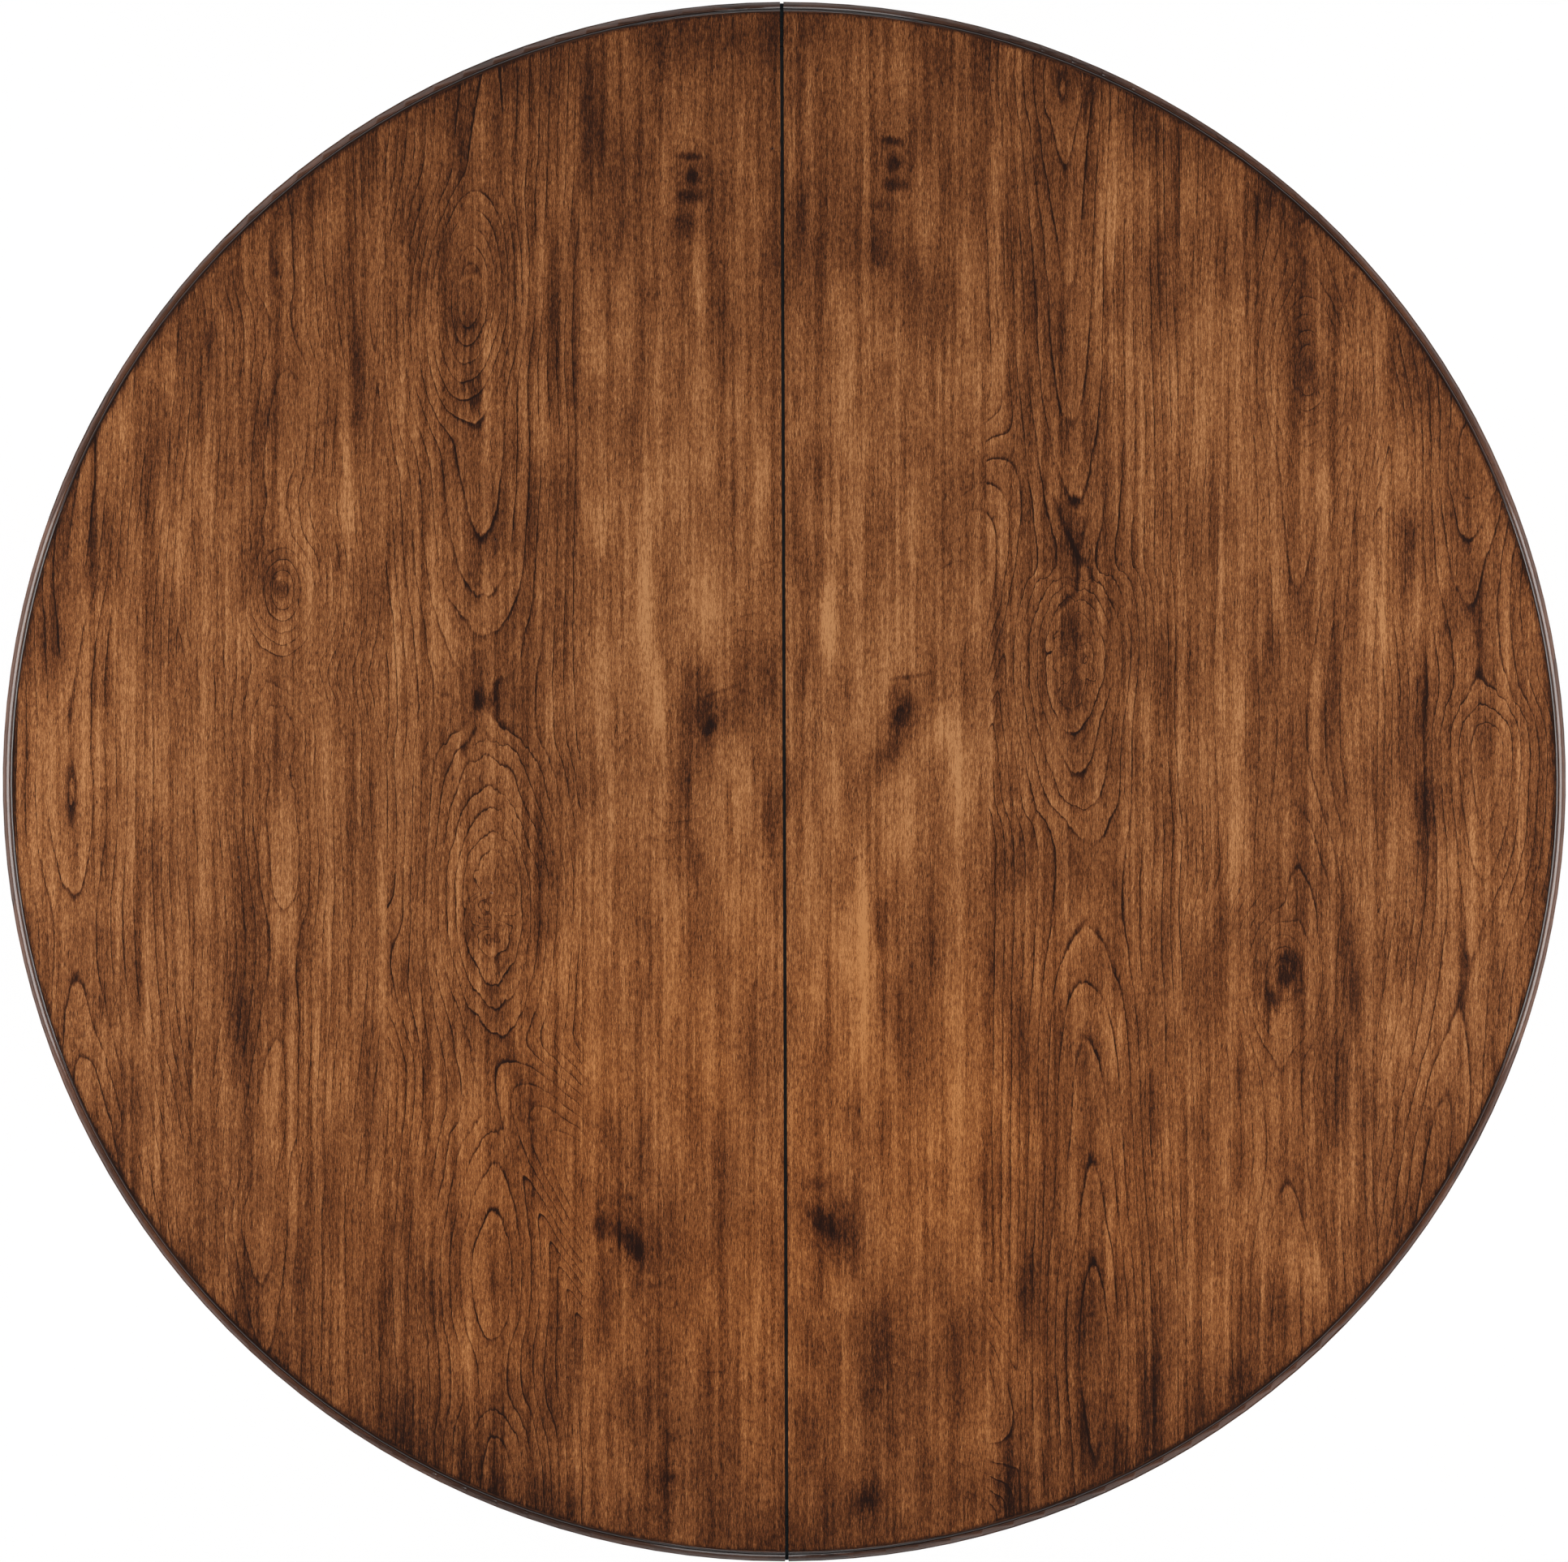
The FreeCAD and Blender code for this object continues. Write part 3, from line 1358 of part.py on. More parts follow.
def column_shaft():
    """Turned baluster shaft with a spigot at each end and a bore for the tie rod."""
    body = new_body("column_shaft")
    foot = hub_top - s.foot_spigot_depth
    plinth_top = shaft_bottom + s.shaft_plinth_height
    bead_bottom = plinth_top + s.shaft_cove_height
    bead_top = bead_bottom + s.shaft_bead_height
    belly = shaft_bottom + s.shaft_belly_rise
    neck = shaft_top - s.shaft_neck_drop
    neck_bead_top = neck + s.shaft_neck_bead_height
    rim_bottom = shaft_top - s.shaft_top_rim
    foot_cove_start = (s.shaft_plinth_radius, plinth_top)
    foot_cove_finish = (s.shaft_bead_radius, bead_bottom)
    top_cove_start = (s.shaft_neck_radius, neck_bead_top)
    top_cove_finish = (s.shaft_top_radius, rim_bottom)
    lower_out = s.shaft_belly_radius - s.shaft_vase_foot_radius
    lower_up = belly - bead_top
    lower_radius = (lower_out * lower_out + lower_up * lower_up) / (2 * lower_out)
    upper_in = s.shaft_belly_radius - s.shaft_neck_radius
    upper_up = neck - belly
    upper_radius = (upper_in * upper_in + upper_up * upper_up) / (4 * upper_in)
    turn(body, [
        (rod_bore, foot),
        (spigot_radius, foot),
        (spigot_radius, shaft_bottom),
        (s.shaft_plinth_radius, shaft_bottom),
        (*foot_cove_start, "in", curve_radius(foot_cove_start, foot_cove_finish, s.shaft_cove_depth)),
        (*foot_cove_finish, "out", bead_radius(s.shaft_bead_height, s.shaft_bead_reach)),
        (s.shaft_bead_radius, bead_top),
        (s.shaft_vase_foot_radius, bead_top, "out", lower_radius),
        (s.shaft_belly_radius, belly, "out", upper_radius),
        (s.shaft_belly_radius - upper_in / 2, belly + upper_up / 2, "in", upper_radius),
        (s.shaft_neck_radius, neck, "out", bead_radius(s.shaft_neck_bead_height, s.shaft_neck_bead_reach)),
        (*top_cove_start, "in", curve_radius(top_cove_start, top_cove_finish, s.shaft_top_cove_depth)),
        top_cove_finish,
        (s.shaft_top_radius, shaft_top),
        (s.top_spigot_radius, shaft_top),
        (s.top_spigot_radius, shaft_top + s.top_spigot_length),
        (rod_bore, shaft_top + s.top_spigot_length),
    ])
    keep(body)


def column_collar():
    """Turned ring between the hub and the shaft."""
    body = new_body("column_collar")
    bead_top = hub_top + s.collar_bead_height
    turn(body, [
        (hub_inner_flat, hub_top),
        (s.collar_radius, hub_top, "out", bead_radius(s.collar_bead_height, s.collar_bead_reach)),
        (s.collar_radius, bead_top),
        (s.collar_radius - s.collar_step, bead_top),
        (s.collar_radius - s.collar_step, shaft_bottom),
        (hub_inner_flat, shaft_bottom),
    ])
    keep(body)


# Hub, legs and fastenings

def octagon(flat):
    """Corners of an octagon that turns a flat to each leg."""
    corner = flat / cosine(HALF_FLAT_TURN)
    return [polar(corner, s.leg_first_angle + HALF_FLAT_TURN * (2 * number + 1)) for number in range(8)]


def bolt_levels():
    """Levels of the two hanger bolts in each leg."""
    return [s.hub_bottom + s.bolt_low_margin, hub_top - s.bolt_high_margin]


def radial_spots(radius):
    """Spots on the four leg directions at each bolt level, pointing outwards."""
    spots = []
    for angle in leg_angles:
        outwards = FreeCAD.Rotation(AXES["z"], angle.number).multiply(POINT_ALONG_X)
        for level in bolt_levels():
            spots.append((*polar(radius, angle), level, outwards))
    return spots


def leg_hub():
    """Eight-sided hollow hub, bored for the hanger bolts."""
    body = new_body("leg_hub_blank")
    sketch = new_sketch(body, "leg_hub_outline", "XY_Plane", s.hub_bottom)
    draw_outline(sketch, octagon(s.hub_flat))
    draw_outline(sketch, octagon(hub_inner_flat))
    block = pad(body, sketch, s.hub_height)

    def outer_top(edge):
        return edge_at_level(edge, hub_top.number) and edge.CenterOfMass.x ** 2 + edge.CenterOfMass.y ** 2 > (
            (s.hub_flat.number + hub_inner_flat.number) / 2) ** 2

    bevel(body, block, s.hub_chamfer, outer_top)
    hole = hole_rod("hub_bolt_hole", s.bolt_radius + s.fit_clearance, 0 * s.hub_wall, s.hub_wall)
    keep(drilled("leg_hub", body, group("hub_bolt_holes", hole, radial_spots(hub_inner_flat))))


def leg_section(reach, level, depth, width, dip):
    """Rounded rectangle across the leg, square to a middle line that dips by an angle."""
    turned = math.radians(dip)
    up = FreeCAD.Vector(math.sin(turned), 0, math.cos(turned))
    across = FreeCAD.Vector(0, 1, 0)
    centre = FreeCAD.Vector(s.hub_flat.number + reach, 0, level)
    corner = min(s.leg_corner.number, 0.45 * depth, 0.45 * width)
    edges = []
    ends = [(1, -1), (1, 1), (-1, 1), (-1, -1)]
    for number, (side, rise) in enumerate(ends):
        next_side, next_rise = ends[(number + 1) % 4]
        pivot = centre + across * side * (width / 2 - corner) + up * rise * (depth / 2 - corner)
        ahead = centre + across * next_side * (width / 2 - corner) + up * next_rise * (depth / 2 - corner)
        outwards = across * side if number % 2 == 0 else up * rise
        inwards = up * rise if number % 2 == 0 else across * side
        start = pivot + inwards * corner
        middle = pivot + (inwards + outwards) * (corner * math.sqrt(0.5))
        finish = pivot + outwards * corner
        edges.append(Part.Arc(start, middle, finish).toShape())
        edges.append(Part.makeLine(finish, ahead + outwards * corner))
    return Part.Wire(edges)


def leg_shape():
    """Swept leg from the hub to the toe, cut flat for its glide and bored for its bolts and tack."""
    middle = s.hub_bottom.number + s.hub_height.number / 2
    root_depth = s.hub_height.number - 2 * s.leg_root_trim.number
    floor = s.glide_height.number
    foot_level = floor + s.leg_foot_depth.number / 2 - s.leg_foot_sink.number
    toe_level = floor + s.leg_toe_depth.number / 2
    stations = [
        (0, middle, root_depth, s.leg_root_width.number, 0),
        (s.leg_knee_step.number, floor + s.leg_knee_rise.number, s.leg_knee_depth.number,
         s.leg_knee_width.number, s.leg_knee_dip.number),
        (leg_shin_reach.number, floor + s.leg_shin_rise.number, s.leg_shin_depth.number,
         s.leg_shin_width.number, s.leg_shin_dip.number),
        (leg_ankle_reach.number, floor + s.leg_ankle_rise.number, s.leg_ankle_depth.number,
         s.leg_ankle_width.number, s.leg_ankle_dip.number),
        (leg_foot_reach.number, foot_level, s.leg_foot_depth.number,
         s.leg_foot_width.number, s.leg_foot_dip.number),
        (leg_toe_reach.number, toe_level, s.leg_toe_depth.number, s.leg_toe_width.number, 0),
    ]
    leg = Part.makeLoft([leg_section(*station) for station in stations], True, False)
    glide_place = s.hub_flat.number + leg_foot_reach.number
    reach = 2 * (s.hub_flat.number + leg_toe_reach.number)
    floor_corner = FreeCAD.Vector(-reach, -reach, floor - reach)
    leg = leg.cut(Part.makeBox(2 * reach, 2 * reach, reach, floor_corner))
    toe_end = s.hub_flat.number + leg_toe_reach.number
    end_edges = [edge for edge in leg.Edges if edge.BoundBox.XMin > toe_end - 1e-4]
    leg = leg.makeFillet(s.leg_toe_round.number, end_edges)
    tack_hole = Part.makeCylinder(
        s.tack_radius.number + s.fit_clearance.number,
        s.tack_length.number + s.hole_overrun.number,
        FreeCAD.Vector(glide_place, 0, floor),
    )
    leg = leg.cut(tack_hole)
    for level in bolt_levels():
        bolt_hole = Part.makeCylinder(
            s.bolt_radius.number + s.fit_clearance.number,
            s.bolt_leg_depth.number + s.hole_overrun.number,
            FreeCAD.Vector(s.hub_flat.number, 0, level.number),
            AXES["x"],
        )
        leg = leg.cut(bolt_hole)
    return leg


def legs():
    """Four legs on the diagonals."""
    shape = leg_shape()
    names = ("leg_back_right", "leg_back_left", "leg_front_left", "leg_front_right")
    for name, angle in zip(names, leg_angles):
        item = doc.addObject("Part::Feature", name)
        item.Shape = shape.copy()
        item.Placement = FreeCAD.Placement(FreeCAD.Vector(), FreeCAD.Rotation(AXES["z"], angle.number))
        keep(item)


def leg_bolts():
    """Hanger bolts with washers and nuts, drawn up from inside the hub."""
    tail = s.bolt_washer_thickness + s.bolt_nut_height + s.bolt_tail
    bolt = hole_rod("leg_bolt", s.bolt_radius, -tail, s.hub_wall + s.bolt_leg_depth)
    keep(group("leg_bolts", bolt, radial_spots(hub_inner_flat)))
    bore = s.bolt_radius + s.fit_clearance
    ring = washer("leg_washer", bore, s.bolt_washer_radius, s.bolt_washer_thickness)
    washer_place = hub_inner_flat - s.bolt_washer_thickness
    keep(group("leg_washers", ring, radial_spots(washer_place)))
    hexagon = nut("leg_nut", bore, s.bolt_nut_corner, s.bolt_nut_height)
    keep(group("leg_nuts", hexagon, radial_spots(washer_place - s.bolt_nut_height)))


def tie_rod():
    """Threaded rod that draws the hub, shaft, capital and top plate together, with its washers and nuts."""
    low_washer = hub_plate_bottom - s.rod_washer_thickness
    low_nut = low_washer - s.rod_nut_height
    high_nut = plate_top + s.rod_washer_thickness
    keep(hole_rod("tie_rod", s.rod_radius, low_nut - s.rod_tail, high_nut + s.rod_nut_height + s.rod_tail))
    bore = s.rod_radius + s.fit_clearance
    ring = washer("tie_rod_washer", bore, s.rod_washer_radius, s.rod_washer_thickness)
    keep(group("tie_rod_washers", ring, [(0, 0, low_washer), (0, 0, plate_top)]))
    hexagon = nut("tie_rod_nut", bore, s.rod_nut_corner, s.rod_nut_height)
    keep(group("tie_rod_nuts", hexagon, [(0, 0, low_nut), (0, 0, high_nut)]))


def hub_plate():
    """Steel disc under the hub that the tie rod pulls up."""
    body = new_body("hub_plate")
    turn(body, rectangle(rod_bore, s.hub_plate_radius, hub_plate_bottom, s.hub_bottom))
    keep(body)


def foot_glides():
    """Nylon glides tacked under the feet."""
    tip = s.glide_height + s.tack_length
    master = turn(new_body("foot_glide"), [
        (0, 0),
        (s.glide_radius - s.glide_round, 0, "out", s.glide_round),
        (s.glide_radius, s.glide_round),
        (s.glide_radius, s.glide_height),
        (s.tack_radius, s.glide_height),
        (s.tack_radius, tip),
        (0, tip),
    ])
    radius = s.hub_flat + leg_foot_reach
    keep(group("foot_glides", master, [polar(radius, angle) for angle in leg_angles]))


# The whole table

for half_side in ("left", "right"):
    top_panel(half_side)
    top_veneer(half_side)
    seam_lip(half_side)
    edge_moulding(half_side)
    apron(half_side)
    apron_blocks(half_side)
    rail_screws(half_side)
    for slide_unit in ("front", "back"):
        moving_rail(half_side, slide_unit)
        rack(half_side, slide_unit)
alignment_pins()
pin_bushes()
lock_plates()
lock_pivots()
small_screws(
    "lock_plate_screws",
    [(pivot_place + x, along + y) for along in lock_places() for x, y in lock_screw_spots()],
)
lock_keepers()
small_screws(
    "keeper_screws",
    [(keeper_place + x, along + y) for along in lock_places() for x, y in keeper_screw_spots()],
)
for slide_unit in ("front", "back"):
    centre_rail(slide_unit)
    pinion(slide_unit)
    lock_lever(slide_unit)
gear_axles()
top_plate()
plate_screws()
column_capital()
capital_screws()
column_shaft()
column_collar()
leg_hub()
legs()
leg_bolts()
tie_rod()
hub_plate()
foot_glides()

doc.recompute()
for thing in doc.Objects:
    if "Invalid" in thing.State or "Error" in thing.State:
        raise RuntimeError(f"{thing.Name} failed: {thing.State}")
for node in nodes:
    if node.Shape.isNull() or not node.Shape.isValid():
        raise RuntimeError(f"{node.Label} has no valid shape")

os.makedirs("parts", exist_ok=True)
for node in nodes:
    node.Shape.exportStep(f"parts/{node.Label}.step")
    print(f"{node.Label}: {len(node.Shape.Solids)} solids, {node.Shape.Volume / 1000:.1f} cm3")
print(f"{len(nodes)} nodes")
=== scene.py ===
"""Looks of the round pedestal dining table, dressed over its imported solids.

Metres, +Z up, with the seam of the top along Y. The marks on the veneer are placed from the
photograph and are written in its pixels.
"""

import json
import math

import bpy
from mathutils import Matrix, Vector


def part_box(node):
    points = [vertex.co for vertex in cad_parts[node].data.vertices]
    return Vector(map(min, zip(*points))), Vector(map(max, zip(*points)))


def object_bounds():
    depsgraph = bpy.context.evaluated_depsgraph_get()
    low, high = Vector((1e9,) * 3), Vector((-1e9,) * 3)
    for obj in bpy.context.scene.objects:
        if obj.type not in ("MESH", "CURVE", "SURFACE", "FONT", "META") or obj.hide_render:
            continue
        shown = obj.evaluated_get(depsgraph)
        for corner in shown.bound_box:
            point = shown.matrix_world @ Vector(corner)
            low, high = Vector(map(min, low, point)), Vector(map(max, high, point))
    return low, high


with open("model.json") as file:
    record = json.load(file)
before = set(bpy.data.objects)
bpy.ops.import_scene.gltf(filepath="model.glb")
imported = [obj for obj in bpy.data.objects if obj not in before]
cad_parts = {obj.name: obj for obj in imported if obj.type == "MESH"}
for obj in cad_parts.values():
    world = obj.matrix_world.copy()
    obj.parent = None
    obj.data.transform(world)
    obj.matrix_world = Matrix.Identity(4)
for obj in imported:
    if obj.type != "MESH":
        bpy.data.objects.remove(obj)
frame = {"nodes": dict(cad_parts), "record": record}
cad_low, cad_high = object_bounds()

# Millimetres in a metre
MM = 1000.0

# The photograph: its size, where the middle of the table is in it, and its scale on the top
PHOTO_WIDTH = 1932
PHOTO_HEIGHT = 1925
PHOTO_MIDDLE_X = 966.33
PHOTO_MIDDLE_Y = 963.26
METRES_PER_PIXEL = 0.000713
MM_PER_PIXEL = METRES_PER_PIXEL * MM
PHOTO_TURN = math.radians(0.19)

# Sizes that the looks share with the solids, in metres
veneer_low, veneer_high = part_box("right_top_veneer")
TABLE_TOP = veneer_high[2]
HALF_GAP = veneer_low[0]
TOP_RADIUS = cad_high[1]
VENEER_RADIUS = veneer_high[1]
# Widths of the inner leaf of veneer and of those beyond it
INNER_LEAF = 0.177
OTHER_LEAF = 0.171
# How far inside the apron's outer face the board's stain stops
APRON_MARGIN = 0.012
# How far each leg is turned from the X axis, in degrees
LEG_TURNS = {"leg_back_right": 45, "leg_back_left": 135, "leg_front_left": 225, "leg_front_right": 315}


def shade(red, green, blue):
    """A colour as the eye reads it, 0 to 255, turned into the renderer's own scale."""
    parts = []
    for part in (red, green, blue):
        level = part / 255
        parts.append(level / 12.92 if level <= 0.04045 else ((level + 0.055) / 1.055) ** 2.4)
    return (*parts, 1.0)


# Building blocks for materials

# The lattice of the finest noise is turned about an axis, or its rows show as a weave
LATTICE_AXIS = (0.36, 0.48, 0.8)
LATTICE_TURN = math.radians(52)


class Wiring:
    """Adds nodes to a material or a node group and joins them up."""

    def __init__(self, tree):
        self.tree = tree

    def add(self, kind, **settings):
        node = self.tree.nodes.new(kind)
        for name, value in settings.items():
            setattr(node, name, value)
        return node

    def feed(self, socket, value):
        """Joins a socket to another node's output, or sets it to a plain value."""
        if isinstance(value, bpy.types.NodeSocket):
            self.tree.links.new(value, socket)
        else:
            socket.default_value = value

    def math(self, operation, *values):
        node = self.add("ShaderNodeMath", operation=operation)
        for socket, value in zip(node.inputs, values):
            self.feed(socket, value)
        return node.outputs[0]

    def vector(self, operation, *values):
        node = self.add("ShaderNodeVectorMath", operation=operation)
        for socket, value in zip(node.inputs, values):
            self.feed(socket, value)
        return node.outputs["Value" if operation == "LENGTH" else "Vector"]

    def split(self, vector):
        node = self.add("ShaderNodeSeparateXYZ")
        self.feed(node.inputs[0], vector)
        return node.outputs

    def combine(self, *parts):
        node = self.add("ShaderNodeCombineXYZ")
        for socket, part in zip(node.inputs, parts):
            self.feed(socket, part)
        return node.outputs[0]

    def place(self):
        """Position on the object in metres."""
        return self.add("ShaderNodeTexCoord").outputs["Object"]

    def from_middle(self, x, y):
        """Distance from the upright axis of the table."""
        return self.math("SQRT", self.math("MULTIPLY_ADD", x, x, self.math("MULTIPLY", y, y)))

    def noise(self, position, fineness, detail=2.0, roughness=0.5, output="Fac"):
        """Soft noise whose marks are about one over the fineness across."""
        node = self.add("ShaderNodeTexNoise")
        self.feed(node.inputs["Vector"], self.vector("MULTIPLY", position, fineness))
        node.inputs["Scale"].default_value = 1.0
        node.inputs["Detail"].default_value = detail
        node.inputs["Roughness"].default_value = roughness
        return node.outputs[output]

    def turned_noise(self, position, fineness, detail=2.0, roughness=0.5):
        """Soft noise on a turned lattice, whose rows don't show as a weave."""
        turned = self.add("ShaderNodeVectorRotate", rotation_type="AXIS_ANGLE")
        self.feed(turned.inputs["Vector"], self.vector("MULTIPLY", position, fineness))
        turned.inputs["Axis"].default_value = LATTICE_AXIS
        turned.inputs["Angle"].default_value = LATTICE_TURN
        return self.noise(turned.outputs[0], (1.0, 1.0, 1.0), detail, roughness)

    def remap(self, value, low, high, new_low=0.0, new_high=1.0, kind="SMOOTHSTEP"):
        node = self.add("ShaderNodeMapRange", interpolation_type=kind)
        for name, part in zip(("Value", "From Min", "From Max", "To Min", "To Max"),
                              (value, low, high, new_low, new_high)):
            self.feed(node.inputs[name], part)
        return node.outputs[0]

    def add_up(self, start, *terms):
        """Adds terms of (value, weight) to a start value."""
        total = start
        for value, weight in terms:
            total = self.math("MULTIPLY_ADD", value, weight, total)
        return total

    def mix_colour(self, factor, first, second, kind="MIX"):
        node = self.add("ShaderNodeMix", data_type="RGBA", blend_type=kind)
        self.feed(node.inputs[0], factor)
        self.feed(node.inputs[6], first)
        self.feed(node.inputs[7], second)
        return node.outputs[2]

    def mix_vector(self, factor, first, second):
        node = self.add("ShaderNodeMix", data_type="VECTOR")
        self.feed(node.inputs[0], factor)
        self.feed(node.inputs[4], first)
        self.feed(node.inputs[5], second)
        return node.outputs[1]

    def ramp(self, value, stops):
        """Colours along a value, from (place, colour) stops."""
        node = self.add("ShaderNodeValToRGB")
        band = node.color_ramp
        while len(band.elements) < len(stops):
            band.elements.new(0.5)
        for element, (place, colour) in zip(band.elements, stops):
            element.position = place
            element.color = colour
        self.feed(node.inputs[0], value)
        return node.outputs[0]

    def curve(self, value, points):
        """A smooth curve through (0 to 1, 0 to 1) points."""
        node = self.add("ShaderNodeFloatCurve")
        line = node.mapping.curves[0]
        while len(line.points) < len(points):
            line.points.new(0.5, 0.5)
        for point, (along, height) in zip(line.points, points):
            point.location = (along, height)
        node.mapping.update()
        self.feed(node.inputs["Value"], value)
        return node.outputs[0]

    def group(self, tree, **values):
        """Places a node group, feeds its inputs by name and gives its outputs."""
        node = self.add("ShaderNodeGroup", node_tree=tree)
        for name, value in values.items():
            self.feed(node.inputs[name], value)
        return node.outputs

    def dress(self, shader, colour, roughness, height, depth):
        """Gives a shader its colour, its roughness and its bumps, with their depth in metres."""
        self.feed(shader.inputs["Base Color"], colour)
        self.feed(shader.inputs["Roughness"], roughness)
        bump = self.add("ShaderNodeBump")
        bump.inputs["Distance"].default_value = depth
        self.feed(bump.inputs["Height"], height)
        self.feed(shader.inputs["Normal"], bump.outputs[0])


SOCKET_KINDS = {"value": "NodeSocketFloat", "vector": "NodeSocketVector"}


def new_group(name, inputs, outputs):
    """Starts a node group and gives its wiring, its inputs and its outputs."""
    tree = bpy.data.node_groups.new(name, "ShaderNodeTree")
    for way, sockets in (("INPUT", inputs), ("OUTPUT", outputs)):
        for socket, kind in sockets.items():
            tree.interface.new_socket(name=socket, in_out=way, socket_type=SOCKET_KINDS[kind])
    wiring = Wiring(tree)
    given = wiring.add("NodeGroupInput").outputs
    made = wiring.add("NodeGroupOutput").inputs
    return wiring, given, made


# Fineness of the marks in wood, in marks per mm across, along and through the grain
FIBRE_FINENESS = (1.05, 0.17, 1.05)
PORE_FINENESS = (1.1, 0.14, 1.1)
STREAK_FINENESS = (0.13, 0.0026, 0.13)
RIPPLE_FINENESS = (0.022, 0.09, 0.022)
MOTTLE_FINENESS = (0.034, 0.0105, 0.034)
CLOUD_FINENESS = (0.011, 0.0055, 0.011)
RING_WAVER_FINENESS = (0.02, 0.006, 0.02)
RING_FADING_FINENESS = (0.04, 0.012, 0.04)
DENT_FINENESS = (0.021, 0.021, 0.021)
# Half widths of the smallest and largest dent, in cells of their pattern, and the share of cells with one
DENT_SIZES = (0.008, 0.024)
DENT_SHARE = 0.4
# How far the rings waver, in rings, how quickly the shade outside one trails off, and the finer rings in it
RING_WAVER = 0.5
SHADE_FALL = 1.8
FINER_RINGS = 3.0


def fibre_group():
    """Fibres, pores, streaks and stain clouds of wood, from a position in mm with the grain along its
    second part."""
    wiring, given, made = new_group(
        "wood fibres",
        {"Position": "vector"},
        {"Fibre": "value", "Pore": "value", "Streak": "value", "Ripple": "value", "Mottle": "value",
         "Cloud": "value"},
    )
    position = given["Position"]
    fine = wiring.turned_noise(position, FIBRE_FINENESS, 3.0, 0.95)
    wiring.feed(made["Fibre"], wiring.remap(fine, 0.25, 0.75, kind="LINEAR"))
    dash = wiring.turned_noise(position, PORE_FINENESS, 1.0)
    wiring.feed(made["Pore"], wiring.remap(dash, 0.64, 0.74))
    wiring.feed(made["Streak"], wiring.noise(position, STREAK_FINENESS, 4.0, 0.76))
    wiring.feed(made["Ripple"], wiring.noise(position, RIPPLE_FINENESS))
    wiring.feed(made["Mottle"], wiring.noise(position, MOTTLE_FINENESS, 3.0, 0.55))
    wiring.feed(made["Cloud"], wiring.noise(position, CLOUD_FINENESS))
    return wiring.tree


def ring_group():
    """Growth rings cut by the surface: a sharp dark line at each ring and a soft shade outside it."""
    wiring, given, made = new_group(
        "growth rings",
        {"Radius": "value", "Width": "value", "Position": "vector"},
        {"Line": "value", "Shade": "value"},
    )
    waver = wiring.noise(given["Position"], RING_WAVER_FINENESS)
    rings = wiring.add_up(wiring.math("DIVIDE", given["Radius"], given["Width"]), (waver, RING_WAVER))
    within = wiring.math("FRACT", rings)

    # Rings differ in strength, and each fades in and out along its length
    chance = wiring.add("ShaderNodeTexWhiteNoise", noise_dimensions="1D")
    wiring.feed(chance.inputs["W"], wiring.math("FLOOR", rings))
    fading = wiring.noise(given["Position"], RING_FADING_FINENESS)
    strength = wiring.math(
        "MULTIPLY",
        wiring.remap(chance.outputs["Value"], 0.0, 1.0, 0.4, 1.0, "LINEAR"),
        wiring.remap(fading, 0.32, 0.62, 0.2, 1.0),
    )
    after = wiring.remap(within, 0.0, 0.13, 1.0, 0.0)
    before = wiring.remap(within, 0.96, 1.0)
    line = wiring.math("MAXIMUM", after, before)
    wiring.feed(made["Line"], wiring.math("MULTIPLY", line, strength))

    # The shade trails off from the line, with finer rings in it
    trail = wiring.math("POWER", wiring.math("SUBTRACT", 1.0, within), SHADE_FALL)
    finer = wiring.math("FRACT", wiring.math("MULTIPLY", rings, FINER_RINGS))
    finer = wiring.math("MULTIPLY", wiring.math("SUBTRACT", 1.0, finer), fading)
    wiring.feed(made["Shade"], wiring.add_up(wiring.math("MULTIPLY", trail, strength), (finer, 0.3)))
    return wiring.tree


def patch_group():
    """A soft patch of an ellipse's shape about a place, turned about its middle."""
    wiring, given, made = new_group(
        "soft patch",
        {"Position": "vector", "Place": "vector", "Reach": "vector", "Turn": "value"},
        {"Mask": "value", "Away": "value"},
    )
    offset = wiring.vector("SUBTRACT", given["Position"], given["Place"])
    turned = wiring.add("ShaderNodeVectorRotate", rotation_type="Z_AXIS")
    wiring.feed(turned.inputs["Vector"], offset)
    wiring.feed(turned.inputs["Angle"], given["Turn"])
    away = wiring.vector("LENGTH", wiring.vector("DIVIDE", turned.outputs[0], given["Reach"]))
    wiring.feed(made["Away"], away)
    wiring.feed(made["Mask"], wiring.remap(away, 0.15, 1.25, 1.0, 0.0))
    return wiring.tree


def dent_group():
    """Small worm marks and dents, scattered over a finish, from a position in mm."""
    wiring, given, made = new_group("worm marks and dents", {"Position": "vector"}, {"Mark": "value"})
    cells = wiring.add("ShaderNodeTexVoronoi", feature="F1", voronoi_dimensions="3D")
    wiring.feed(cells.inputs["Vector"], wiring.vector("MULTIPLY", given["Position"], DENT_FINENESS))
    cells.inputs["Scale"].default_value = 1.0
    pick = wiring.split(cells.outputs["Color"])
    size = wiring.remap(pick[1], 0.0, 1.0, *DENT_SIZES, "LINEAR")
    inside = wiring.math("DIVIDE", cells.outputs["Distance"], size)
    chosen = wiring.math("LESS_THAN", pick[0], DENT_SHARE)
    mark = wiring.math("MULTIPLY", wiring.remap(inside, 0.5, 1.3, 1.0, 0.0), chosen)
    wiring.feed(made["Mark"], mark)
    return wiring.tree


